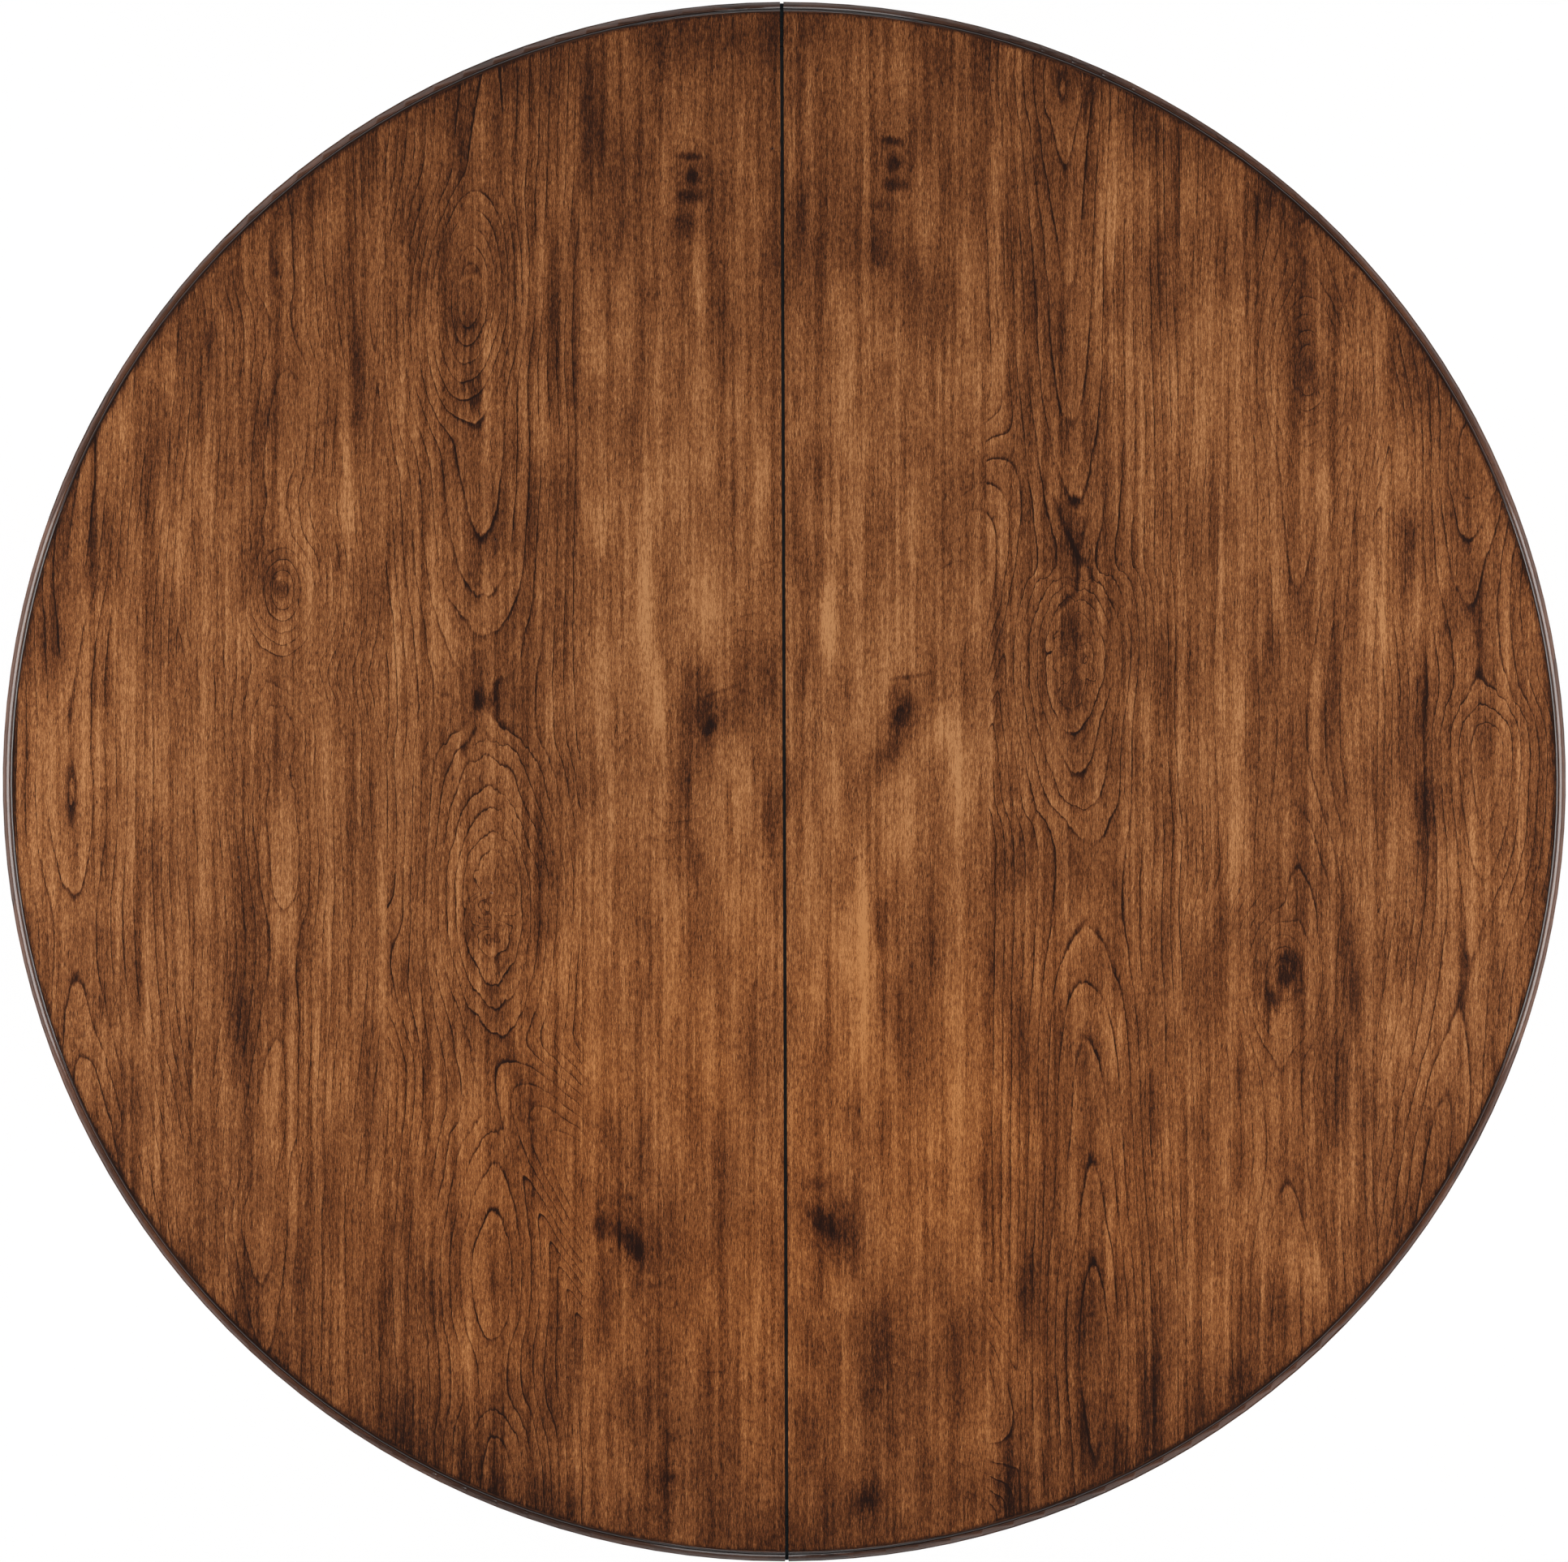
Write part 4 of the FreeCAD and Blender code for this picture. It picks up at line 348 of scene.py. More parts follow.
def arc_group():
    """Position in mm across, along and up a half-round piece, with the grain round the arc."""
    wiring, given, made = new_group("arc position", {"Way": "value"}, {"Position": "vector"})
    x, y, z = wiring.split(wiring.place())
    outwards = wiring.math("MULTIPLY", x, given["Way"])
    along = wiring.math("MULTIPLY", y, given["Way"])
    angle = wiring.math("ARCTAN2", along, outwards)
    wiring.feed(made["Position"], wiring.combine(
        wiring.math("MULTIPLY", wiring.from_middle(x, y), MM),
        wiring.math("MULTIPLY", angle, TOP_RADIUS * MM),
        wiring.math("MULTIPLY", z, MM),
    ))
    return wiring.tree


WOOD_FIBRES = fibre_group()
GROWTH_RINGS = ring_group()
SOFT_PATCH = patch_group()
WORM_MARKS = dent_group()
ARC_POSITION = arc_group()


def new_material(name):
    """Starts a material and gives its wiring and its main shader."""
    material = bpy.data.materials.new(name)
    material.use_nodes = True
    wiring = Wiring(material.node_tree)
    shader = material.node_tree.nodes["Principled BSDF"]
    return material, wiring, shader


def object_position(wiring):
    """Position on the object in mm."""
    return wiring.vector("MULTIPLY", wiring.place(), (MM, MM, MM))


# Veneer of the top

# Each leaf: its ring contrast, and down the photograph the line (y, x) that its figure is centred on, with
# how many growth rings lie over the cut there. A falling count draws a peak, a rising one a valley, and a
# low one an eye.
LEFT_LEAVES = [
    {"contrast": 0.16, "figure": [
        (0, 905, 5), (150, 880, 3), (215, 855, 1), (300, 850, 2.2), (480, 842, 4), (800, 868, 3),
        (890, 870, 1), (1000, 860, 2.4), (1150, 845, 4.4), (1400, 810, 3), (1540, 790, 1),
        (1700, 832, 3), (1770, 833, 2), (1840, 858, 1), (1925, 870, 2)]},
    {"contrast": 0.9, "figure": [
        (0, 604, 3.6), (150, 600, 3), (290, 590, 2.6), (330, 584, 2), (395, 582, 1.9), (430, 584, 2.4),
        (470, 586, 3.2), (560, 590, 3.6), (700, 592, 4.8), (800, 597, 6.6), (880, 600, 7.4),
        (925, 600, 6), (948, 602, 5), (985, 604, 4), (1010, 606, 3), (1040, 607, 2), (1064, 608, 1),
        (1110, 608, 0.3), (1162, 608, 1), (1195, 609, 2), (1240, 611, 3.5), (1300, 612, 5),
        (1340, 612, 5.3), (1400, 610, 4), (1450, 608, 3), (1500, 606, 2.2), (1560, 605, 1.5),
        (1620, 606, 1.9), (1700, 608, 3), (1750, 610, 2), (1800, 612, 1), (1870, 612, 0.6),
        (1925, 612, 1)]},
    {"contrast": 0.6, "figure": [
        (0, 340, 3.4), (200, 336, 2.4), (330, 338, 1.4), (390, 345, 2.1), (460, 350, 1.3),
        (520, 346, 0.9), (575, 343, 0.75), (616, 340, 1.1), (642, 340, 0.75), (668, 342, 1.1),
        (740, 345, 2), (795, 328, 3), (840, 334, 2.4), (880, 340, 1.1), (920, 342, 0.75),
        (950, 343, 1.1), (990, 344, 0.8), (1080, 350, 0.9), (1180, 350, 2), (1250, 346, 1.6),
        (1340, 336, 0.95), (1385, 332, 0.7), (1450, 326, 1.1), (1500, 320, 0.65), (1545, 322, 1.05),
        (1620, 326, 2), (1925, 332, 4)]},
    {"contrast": 0.75, "figure": [
        (0, 120, 2), (500, 112, 1.4), (700, 92, 1.2), (780, 88, 2), (900, 88, 2.5), (1000, 88, 2.4),
        (1080, 90, 3), (1150, 94, 3.6), (1260, 98, 3), (1340, 108, 2), (1450, 124, 1.4), (1925, 190, 3)]},
]
RIGHT_LEAVES = [
    {"contrast": 0.16, "figure": [
        (0, 1140, 5), (120, 1120, 3), (200, 1104, 1), (300, 1098, 2.2), (480, 1090, 4), (800, 1110, 3),
        (884, 1110, 1), (1000, 1098, 2.4), (1150, 1082, 4.4), (1400, 1045, 3), (1505, 1020, 1),
        (1700, 1062, 3), (1745, 1063, 2), (1850, 1064, 1), (1925, 1072, 2)]},
    {"contrast": 0.88, "figure": [
        (0, 1305, 2), (60, 1307, 1), (100, 1308, 0.4), (150, 1310, 1), (280, 1315, 2), (460, 1320, 3),
        (560, 1324, 4), (640, 1327, 4.7), (690, 1328, 5), (715, 1327, 3.6), (745, 1326, 2),
        (772, 1325, 1), (812, 1325, 0.3), (852, 1325, 1), (885, 1326, 2), (930, 1330, 3),
        (985, 1334, 4), (1020, 1340, 5), (1085, 1341, 5.6), (1170, 1340, 5), (1230, 1340, 4),
        (1300, 1341, 3.2), (1400, 1343, 2.6), (1500, 1345, 2), (1560, 1346, 1.3), (1650, 1348, 0.8),
        (1780, 1350, 1.4), (1925, 1350, 2)]},
    {"contrast": 0.5, "figure": [
        (0, 1610, 5), (250, 1612, 3.6), (350, 1611, 2), (400, 1612, 1.2), (455, 1612, 0.6),
        (520, 1609, 1.2), (600, 1604, 2.5), (760, 1596, 3.5), (900, 1592, 4), (1040, 1600, 2.8),
        (1100, 1604, 2), (1150, 1596, 1.2), (1205, 1584, 0.5), (1270, 1580, 1.4), (1350, 1580, 2.6),
        (1430, 1582, 2.6), (1500, 1583, 2), (1560, 1584, 1.2), (1650, 1586, 0.9), (1925, 1590, 2)]},
    {"contrast": 0.75, "figure": [
        (0, 1760, 2), (400, 1790, 2.4), (520, 1812, 1.5), (570, 1818, 0.8), (620, 1814, 1.6),
        (715, 1810, 3), (800, 1818, 3.6), (880, 1828, 2), (930, 1831, 0.8), (985, 1830, 1.1),
        (1060, 1828, 2), (1200, 1806, 3.4), (1400, 1776, 2.2), (1925, 1700, 2)]},
]
# Knots: x, y, half width and half length of the dark heart, its turn in degrees and its strength
LEFT_KNOTS = [
    (853, 218, 10, 12, -10, 0.5), (874, 897, 9, 15, 25, 0.42), (776, 1530, 14, 35, -36, 0.5),
    (348, 727, 10, 10, 0, 0.44), (828, 1822, 13, 9, 0, 0.34), (579, 368, 12, 19, 4, 0.12),
]
RIGHT_KNOTS = [
    (1103, 202, 10, 12, 10, 0.5), (1111, 880, 10, 25, 22, 0.34), (1012, 1505, 14, 33, -40, 0.48),
    (1583, 1207, 12, 13, 0, 0.55), (1612, 456, 9, 12, 0, 0.3), (1066, 1848, 8, 8, 0, 0.3),
]
# Smears beside the knots: x, y, half width, half length, turn in degrees and strength
LEFT_SMEARS = [
    (849, 193, 20, 6, 3, 0.42), (849, 243, 22, 10, -4, 0.42), (843, 276, 20, 24, 0, 0.3),
    (866, 240, 34, 64, 0, 0.1), (585, 333, 4, 8, 0, 0.34), (586, 492, 9, 22, 0, 0.3),
    (577, 400, 16, 14, 0, 0.16), (850, 850, 18, 60, 4, 0.22), (885, 853, 28, 3.5, -18, 0.26),
    (850, 945, 17, 44, 6, 0.24), (869, 884, 24, 34, 16, 0.26), (592, 862, 8, 24, 4, 0.42),
    (572, 922, 6, 14, 8, 0.4), (582, 905, 3.5, 20, 33, 0.34), (604, 910, 3.5, 24, -33, 0.3),
    (628, 950, 3.5, 24, -30, 0.24), (607, 1222, 6, 20, 0, 0.3), (620, 1191, 3, 16, 40, 0.24),
    (741, 1512, 14, 19, 0, 0.36), (776, 1474, 16, 5, 6, 0.24), (748, 1570, 20, 50, -8, 0.16),
    (790, 1520, 46, 58, -30, 0.16), (828, 1770, 14, 9, 0, 0.16),
]
RIGHT_SMEARS = [
    (1097, 174, 20, 7, 8, 0.42), (1103, 228, 20, 11, 0, 0.4), (1092, 252, 24, 14, 0, 0.22),
    (1080, 300, 14, 36, -10, 0.22), (1120, 834, 30, 3.5, -8, 0.26), (1108, 884, 22, 48, 22, 0.32),
    (1097, 855, 12, 14, 0, 0.14), (1098, 925, 16, 22, 10, 0.2), (1092, 940, 24, 28, 0, 0.16),
    (1303, 625, 5, 18, -24, 0.4), (1318, 662, 4.5, 34, -24, 0.4), (1335, 655, 3, 42, 10, 0.28),
    (1332, 692, 9, 9, 0, 0.42), (1328, 712, 4, 18, 10, 0.4), (1313, 742, 3.5, 24, 42, 0.34),
    (1344, 708, 3.5, 22, -22, 0.3), (1003, 1460, 22, 12, -20, 0.2), (1026, 1452, 14, 14, 0, 0.12),
    (1026, 1515, 42, 50, -34, 0.16), (1590, 1185, 19, 18, 0, 0.26), (1572, 1228, 12, 16, 0, 0.2),
]
# Eyes whose heart is crumpled: x, y, half width and half length
LEFT_EYES = [(606, 1118, 34, 58)]
RIGHT_EYES = [(1324, 813, 34, 56)]
# Stain patches: x, y, half width, half length and strength, below zero for dark ones
LEFT_PATCHES = [
    # inner leaf
    (790, 280, 66, 170, -0.12), (905, 1680, 50, 100, -0.1), (780, 800, 60, 190, 0.15),
    (780, 530, 50, 80, -0.14), (726, 150, 26, 120, -0.3), (738, 290, 16, 44, -0.18),
    (945, 70, 20, 80, -0.26), (950, 320, 14, 110, -0.14), (841, 470, 12, 40, -0.16),
    (908, 620, 10, 130, -0.15), (845, 1000, 12, 50, -0.2), (855, 1070, 14, 40, -0.2),
    (950, 1010, 14, 50, -0.26), (795, 1130, 8, 120, -0.12), (742, 1620, 14, 80, -0.18),
    (870, 1680, 14, 70, -0.18), (762, 1740, 30, 60, -0.12), (900, 1790, 14, 70, -0.15),
    (762, 917, 22, 4, -0.3), (832, 1770, 12, 10, -0.12), (800, 110, 18, 60, 0.08),
    (855, 360, 14, 40, 0.18), (762, 360, 10, 60, 0.13), (806, 540, 14, 180, 0.16),
    (875, 560, 12, 70, 0.18), (742, 640, 18, 40, 0.26), (940, 620, 14, 110, 0.11),
    (800, 740, 18, 70, 0.19), (870, 750, 16, 70, 0.16), (806, 850, 14, 80, 0.24),
    (735, 820, 18, 100, 0.11), (910, 960, 16, 90, 0.26), (755, 1010, 16, 90, 0.24),
    (815, 980, 10, 120, 0.14), (827, 1170, 14, 130, 0.22), (900, 1110, 18, 100, 0.11),
    (925, 1400, 18, 150, 0.14), (835, 1370, 14, 110, 0.12), (728, 1420, 12, 50, 0.1),
    (920, 1700, 16, 120, 0.1),
    # second leaf
    (545, 880, 60, 110, -0.16), (660, 1370, 50, 260, -0.14), (650, 1800, 60, 80, 0.08),
    (570, 325, 16, 30, -0.16), (580, 474, 18, 14, -0.16), (565, 560, 12, 34, -0.14),
    (610, 150, 10, 50, -0.14), (655, 660, 16, 60, -0.14), (580, 720, 12, 60, -0.18),
    (590, 835, 14, 40, -0.22), (570, 1000, 14, 30, -0.14), (612, 1160, 16, 16, -0.14),
    (664, 1080, 8, 120, -0.14), (690, 1370, 16, 90, -0.16), (555, 1480, 16, 60, -0.14),
    (505, 1700, 22, 90, -0.12), (610, 1830, 20, 30, -0.2), (708, 480, 8, 160, -0.14),
    (588, 170, 10, 40, 0.14), (592, 435, 12, 14, 0.11), (665, 500, 14, 80, 0.11),
    (540, 770, 14, 150, 0.12), (622, 720, 10, 70, 0.1), (555, 1080, 14, 100, 0.11),
    (630, 1235, 12, 40, 0.16), (622, 1350, 14, 40, 0.19), (572, 1680, 14, 100, 0.14),
    (710, 1770, 8, 70, 0.11),
    # third leaf
    (300, 400, 60, 110, -0.12), (300, 1350, 60, 90, -0.1), (425, 1510, 50, 90, -0.1),
    (420, 1670, 55, 90, 0.15), (300, 710, 55, 70, -0.1), (258, 420, 12, 36, -0.26),
    (440, 440, 10, 80, -0.22), (330, 530, 26, 60, -0.14), (345, 692, 36, 26, -0.16),
    (470, 740, 16, 50, -0.14), (345, 890, 16, 110, -0.2), (290, 1250, 14, 110, -0.22),
    (372, 1520, 18, 130, -0.18), (305, 1590, 22, 60, -0.18), (250, 600, 14, 90, 0.13),
    (425, 620, 16, 80, 0.16), (425, 760, 16, 50, 0.16), (345, 620, 12, 36, 0.11),
    (300, 770, 12, 30, 0.16), (302, 930, 16, 110, 0.16), (470, 1100, 12, 160, 0.18),
    (325, 1390, 16, 70, 0.18), (410, 1370, 14, 40, 0.11), (463, 1430, 10, 70, 0.14),
    # outer leaf
    (185, 560, 50, 110, -0.1), (180, 850, 56, 90, -0.1), (75, 1190, 44, 80, 0.08),
    (190, 1350, 60, 80, -0.09), (110, 690, 14, 60, -0.14), (80, 800, 20, 30, -0.14),
    (215, 600, 10, 70, -0.18), (92, 1065, 10, 40, -0.2), (128, 1250, 12, 20, -0.22),
    (172, 1210, 10, 80, -0.14), (120, 1350, 44, 80, 0.12), (155, 530, 14, 40, 0.14),
    (140, 790, 10, 90, 0.16), (50, 920, 14, 120, 0.14), (216, 980, 12, 90, 0.1),
    (208, 1290, 12, 70, 0.13),
]
RIGHT_PATCHES = [
    # inner leaf
    (1030, 300, 60, 190, -0.13), (1150, 380, 56, 110, -0.24), (1050, 1180, 70, 110, 0.13),
    (988, 250, 14, 80, -0.24), (978, 100, 14, 50, -0.2), (985, 490, 14, 22, -0.2),
    (1094, 310, 16, 90, -0.12), (1165, 650, 16, 50, -0.1), (985, 830, 12, 30, -0.16),
    (1132, 1220, 14, 70, -0.13), (970, 960, 8, 80, -0.15), (1000, 1660, 20, 30, -0.17),
    (1000, 1750, 18, 44, -0.2), (1090, 1650, 14, 70, -0.16), (1178, 1710, 14, 90, -0.18),
    (1066, 1840, 26, 26, -0.16), (1003, 903, 22, 4, -0.28), (1045, 160, 10, 60, 0.1),
    (1035, 440, 18, 120, 0.18), (1040, 570, 14, 100, 0.14), (1030, 690, 16, 60, 0.24),
    (1020, 770, 14, 60, 0.3), (1185, 420, 16, 100, 0.14), (1130, 650, 14, 80, 0.11),
    (1160, 910, 24, 30, 0.22), (1180, 980, 24, 80, 0.19), (1110, 1050, 24, 60, 0.16),
    (995, 1060, 14, 120, 0.27), (1060, 1190, 16, 150, 0.27), (1175, 1310, 18, 110, 0.14),
    (1000, 1250, 20, 70, 0.14), (1035, 1582, 24, 40, 0.21), (1140, 1760, 12, 44, 0.13),
    (1045, 1700, 14, 80, 0.08), (1150, 1400, 18, 60, 0.11),
    # second leaf
    (1270, 90, 56, 90, 0.1), (1390, 240, 60, 90, 0.14), (1265, 860, 50, 80, -0.12),
    (1226, 60, 16, 50, -0.2), (1338, 110, 18, 36, -0.32), (1305, 430, 14, 50, -0.18),
    (1315, 530, 12, 24, -0.2), (1324, 660, 14, 34, -0.24), (1228, 760, 12, 110, -0.17),
    (1325, 770, 22, 28, -0.2), (1320, 850, 24, 24, -0.2), (1295, 900, 14, 60, -0.14),
    (1265, 1040, 14, 50, -0.22), (1246, 960, 14, 40, -0.16), (1254, 1280, 18, 110, -0.25),
    (1335, 1300, 10, 50, -0.26), (1420, 1370, 20, 50, -0.2), (1345, 1610, 22, 70, -0.28),
    (1265, 1600, 12, 80, -0.17), (1420, 1715, 20, 70, -0.32), (1350, 1750, 40, 60, -0.2),
    (1245, 1830, 14, 50, -0.24), (1365, 270, 16, 100, 0.14), (1275, 720, 24, 40, 0.1),
    (1355, 740, 8, 60, 0.11), (1447, 500, 12, 80, 0.11), (1450, 740, 12, 50, 0.16),
    (1430, 900, 10, 80, 0.1), (1330, 1140, 28, 28, 0.21), (1420, 1080, 10, 40, 0.11),
    (1375, 1290, 10, 60, 0.18), (1230, 1640, 18, 50, 0.11), (1285, 1760, 14, 40, 0.1),
    # third leaf
    (1510, 1200, 50, 150, -0.15), (1630, 1130, 60, 220, -0.14), (1510, 1450, 56, 130, -0.11),
    (1630, 780, 60, 200, -0.1), (1630, 1500, 50, 80, -0.1), (1560, 240, 24, 50, -0.28),
    (1608, 400, 16, 80, -0.2), (1555, 520, 14, 80, -0.17), (1565, 820, 12, 60, -0.14),
    (1640, 880, 14, 80, -0.2), (1590, 1185, 18, 24, -0.3), (1567, 1235, 16, 30, -0.32),
    (1600, 1230, 18, 40, -0.14), (1665, 1200, 14, 80, -0.25), (1648, 1380, 14, 100, -0.25),
    (1580, 1500, 12, 20, -0.16), (1570, 1620, 40, 50, -0.16), (1515, 260, 14, 50, 0.1),
    (1525, 500, 12, 160, 0.14), (1475, 570, 14, 110, 0.16), (1650, 550, 22, 70, 0.11),
    (1520, 890, 16, 90, 0.21), (1520, 1030, 16, 110, 0.26), (1590, 1040, 18, 80, 0.14),
    (1515, 1220, 14, 100, 0.13), (1510, 1370, 18, 110, 0.21), (1530, 1520, 24, 60, 0.12),
    (1625, 1570, 16, 40, 0.21), (1686, 740, 10, 70, 0.24),
    # outer leaf
    (1850, 1040, 44, 80, -0.12), (1860, 840, 44, 120, 0.1), (1740, 690, 16, 60, -0.2),
    (1755, 860, 14, 60, -0.22), (1830, 920, 12, 60, -0.2), (1755, 1000, 20, 70, -0.32),
    (1820, 760, 14, 60, -0.14), (1790, 1290, 12, 70, -0.13), (1800, 1170, 10, 60, -0.12),
    (1708, 630, 14, 80, 0.16), (1780, 690, 12, 60, 0.24), (1704, 760, 10, 60, 0.21),
    (1860, 830, 10, 90, 0.13), (1870, 1050, 12, 120, 0.16), (1714, 1300, 14, 140, 0.22),
    (1820, 1230, 16, 80, 0.13), (1785, 1060, 12, 60, 0.11),
]
# Width of a ring, half width of the flat middle of a figure, how far out its peaks reach, in pixels
RING_WIDTH = 9.0
FIGURE_FLAT = 24.0
PEAK_REACH = 62.0
# How far the rings of a knot lie inside those of its leaf, and the most rings that a figure counts
KNOT_DEPTH = 30.0
RING_COUNT_REACH = 10.0
# How far a knot's rings are drawn out along the grain and how wide they are, in sizes of the knot, and how
# softly they join those of the leaf, in pixels
KNOT_DRAWN_OUT = 1.7
KNOT_RING_SHARE = 1.1
KNOT_JOINING = 14.0
# Where a knot's dark heart and its halo fade out, and where its pale edge is, in half widths of the knot
HEART_FADE = (0.3, 1.4)
HALO_FADE = (1.0, 3.6)
PALE_EDGE = 1.5
PALE_EDGE_REACH = 0.3
# How strong they are
HEART_SHARE = 1.1
HALO_STRENGTH = 0.17
PALE_STRENGTH = 0.1
# How finely an eye's heart is crumpled, in marks per pixel, how far, in pixels, and how much duller it is
CRUMPLE_FINENESS = (0.045, 0.04, 1.0)
CRUMPLE_REACH = 90.0
EYE_DULLNESS = 0.1
# How finely the grain wanders, its rings are jagged and stain runs along it, in marks per pixel across and
# along, and then how far, in pixels
WANDERING_FINENESS = (0.011, 0.0026, 1.0)
JAGGED_FINENESS = (0.05, 0.02, 1.0)
STAIN_FINENESS = (0.2, 0.006, 1.0)
WANDERING = (16.0, 50.0, 0.0)
JAGGEDNESS = (4.0, 30.0, 0.0)
STAIN_RUN = (10.0, 150.0, 0.0)
# Shares of the jaggedness that the knots follow, and of the wandering that their rings follow
KNOT_JAGGEDNESS = (1.6, 0.25, 0.0)
KNOT_WANDERING = (0.8, 0.5, 0.0)
# How far off each leaf takes its fibres from, in mm
LEAF_OFFSET = (0.0, 310.0, 47.0)
# How wide the burnished rim is and how ragged, and the edge of the glaze and painted shade at its end, in
# metres
RIM_WIDTH = 0.06
RIM_RAGGED = 0.02
GLAZE_AND_SHADE_RAGGED = 0.004
GLAZE_AND_SHADE_EDGE = (-0.001, 0.003)
# Towards the ends of the top the rim is burnished more and the veneer is darker, in shares of the radius
BURNISHED_ENDS = (0.1, 0.7)
BURNISHED_SIDES = 0.3
DARK_ENDS = (0.35, 1.0)
# What the lightness of the veneer starts from, and what the fibres add to it
VENEER_START = -1.225
VENEER_FIBRES = {
    "Mottle": 0.7,
    "Cloud": 0.5,
    "Streak": 1.25,
    "Ripple": 0.1,
    "Fibre": 1.15,
    "Pore": -0.26,
}
TOP_TONES = [
    (0.0, shade(30, 11, 3)),
    (0.2, shade(72, 35, 14)),
    (0.35, shade(98, 53, 24)),
    (0.5, shade(124, 72, 36)),
    (0.65, shade(147, 90, 50)),
    (0.8, shade(170, 110, 64)),
    (1.0, shade(200, 142, 92)),
]
# Where the stain is redder, in pixels, how far that reaches, and what it does to the colour
RED_PLACE = (990.0, 1480.0, 0.0)
RED_REACH = (760.0, 520.0, 1.0)
RED_STAIN = (1.07, 0.96, 0.78, 1.0)
# Depth of the dents, in metres, and the specular level of the warm lacquer
DENT_DEPTH = 0.0004
WARM_SPECULAR = 0.3


def photo_position(wiring):
    """Position on the top in pixels of the photograph, which has its rows running down."""
    mapping = wiring.add("ShaderNodeMapping")
    wiring.feed(mapping.inputs["Vector"], wiring.place())
    mapping.inputs["Location"].default_value = (PHOTO_MIDDLE_X, PHOTO_MIDDLE_Y, 0.0)
    mapping.inputs["Rotation"].default_value = (0.0, 0.0, -PHOTO_TURN)
    mapping.inputs["Scale"].default_value = (1 / METRES_PER_PIXEL, -1 / METRES_PER_PIXEL, 0.0)
    return mapping.outputs[0]


def random_offset(wiring, place, fineness, reach, detail=3.0, roughness=0.6):
    """Random offset to either side, up to a half of its reach."""
    cloud = wiring.noise(place, fineness, detail, roughness, output="Color")
    return wiring.vector("MULTIPLY", wiring.vector("SUBTRACT", cloud, (0.5, 0.5, 0.5)), reach)


def soft_patch(wiring, position, x, y, half_width, half_length, turn=0.0):
    """A soft ellipse about a pixel, turned by degrees."""
    return wiring.group(
        SOFT_PATCH,
        Position=position,
        Place=(x, y, 0.0),
        Reach=(half_width, half_length, 1.0),
        Turn=-math.radians(turn),
    )


def leaf_figure(wiring, column, row, leaf):
    """How far the cut surface is from the heart of its figure, in pixels of the photograph: the rings are
    counted down the middle, and run straight along the grain further out."""
    figure = leaf["figure"]
    down = wiring.math("DIVIDE", row, float(PHOTO_HEIGHT))
    middle = wiring.curve(down, [(y / PHOTO_HEIGHT, x / PHOTO_WIDTH) for y, x, _ in figure])
    across = wiring.math("MULTIPLY_ADD", middle, -float(PHOTO_WIDTH), column)
    squared = wiring.math("MULTIPLY", across, across)
    outwards = wiring.math("SQRT", wiring.math("ADD", squared, FIGURE_FLAT ** 2))
    fading = wiring.math("DIVIDE", PEAK_REACH ** 2, wiring.math("ADD", squared, PEAK_REACH ** 2))
    count = wiring.curve(down, [(y / PHOTO_HEIGHT, rings / RING_COUNT_REACH) for y, _, rings in figure])
    peaks = wiring.math("MULTIPLY", wiring.math("MULTIPLY", count, RING_COUNT_REACH * RING_WIDTH), fading)
    return wiring.add_up(KNOT_DEPTH - FIGURE_FLAT, (outwards, 1.0), (peaks, 1.0))


def leaf_stain(wiring, position, patches):
    """Adds up the soft stain patches of a leaf at a position."""
    total = 0.0
    for x, y, half_width, half_length, strength in patches:
        patch = soft_patch(wiring, position, x, y, half_width, half_length)["Mask"]
        total = wiring.math("MULTIPLY_ADD", patch, strength, total)
    return total


def leaf_features(wiring, outwards, wandering, feathered, leaves, patches, way):
    """Distance from the figure's heart, ring contrast and stain of the leaf at a place, and its number out
    from the seam."""
    column, row, _ = wiring.split(wandering)
    features = None
    leaf_number = 0.0
    for number, leaf in enumerate(leaves):
        inner_edge = HALF_GAP + INNER_LEAF + (number - 1) * OTHER_LEAF if number else 0.0
        outer_edge = HALF_GAP + INNER_LEAF + number * OTHER_LEAF
        in_leaf = [
            patch for patch in patches
            if inner_edge <= (patch[0] - PHOTO_MIDDLE_X) * way * METRES_PER_PIXEL < outer_edge
        ]
        figure = leaf_figure(wiring, column, row, leaf)
        new_features = wiring.combine(figure, leaf["contrast"], leaf_stain(wiring, feathered, in_leaf))
        if features is None:
            features = new_features
            continue
        beyond = wiring.math("GREATER_THAN", outwards, inner_edge)
        leaf_number = wiring.math("ADD", leaf_number, beyond)
        features = wiring.mix_vector(beyond, features, new_features)
    heart, contrast, stain = wiring.split(features)
    return heart, contrast, stain, leaf_number


def crumpled_eyes(wiring, place, eyes, heart, stain):
    """Crumples the heart of each eye and makes it dull."""
    crumple = wiring.math("SUBTRACT", wiring.noise(place, CRUMPLE_FINENESS, 1.0), 0.5)
    for eye_x, eye_y, half_width, half_length in eyes:
        eye = soft_patch(wiring, place, eye_x, eye_y, half_width, half_length)["Mask"]
        heart = wiring.add_up(heart, (wiring.math("MULTIPLY", crumple, eye), CRUMPLE_REACH))
        stain = wiring.add_up(stain, (eye, -EYE_DULLNESS))
    return heart, stain


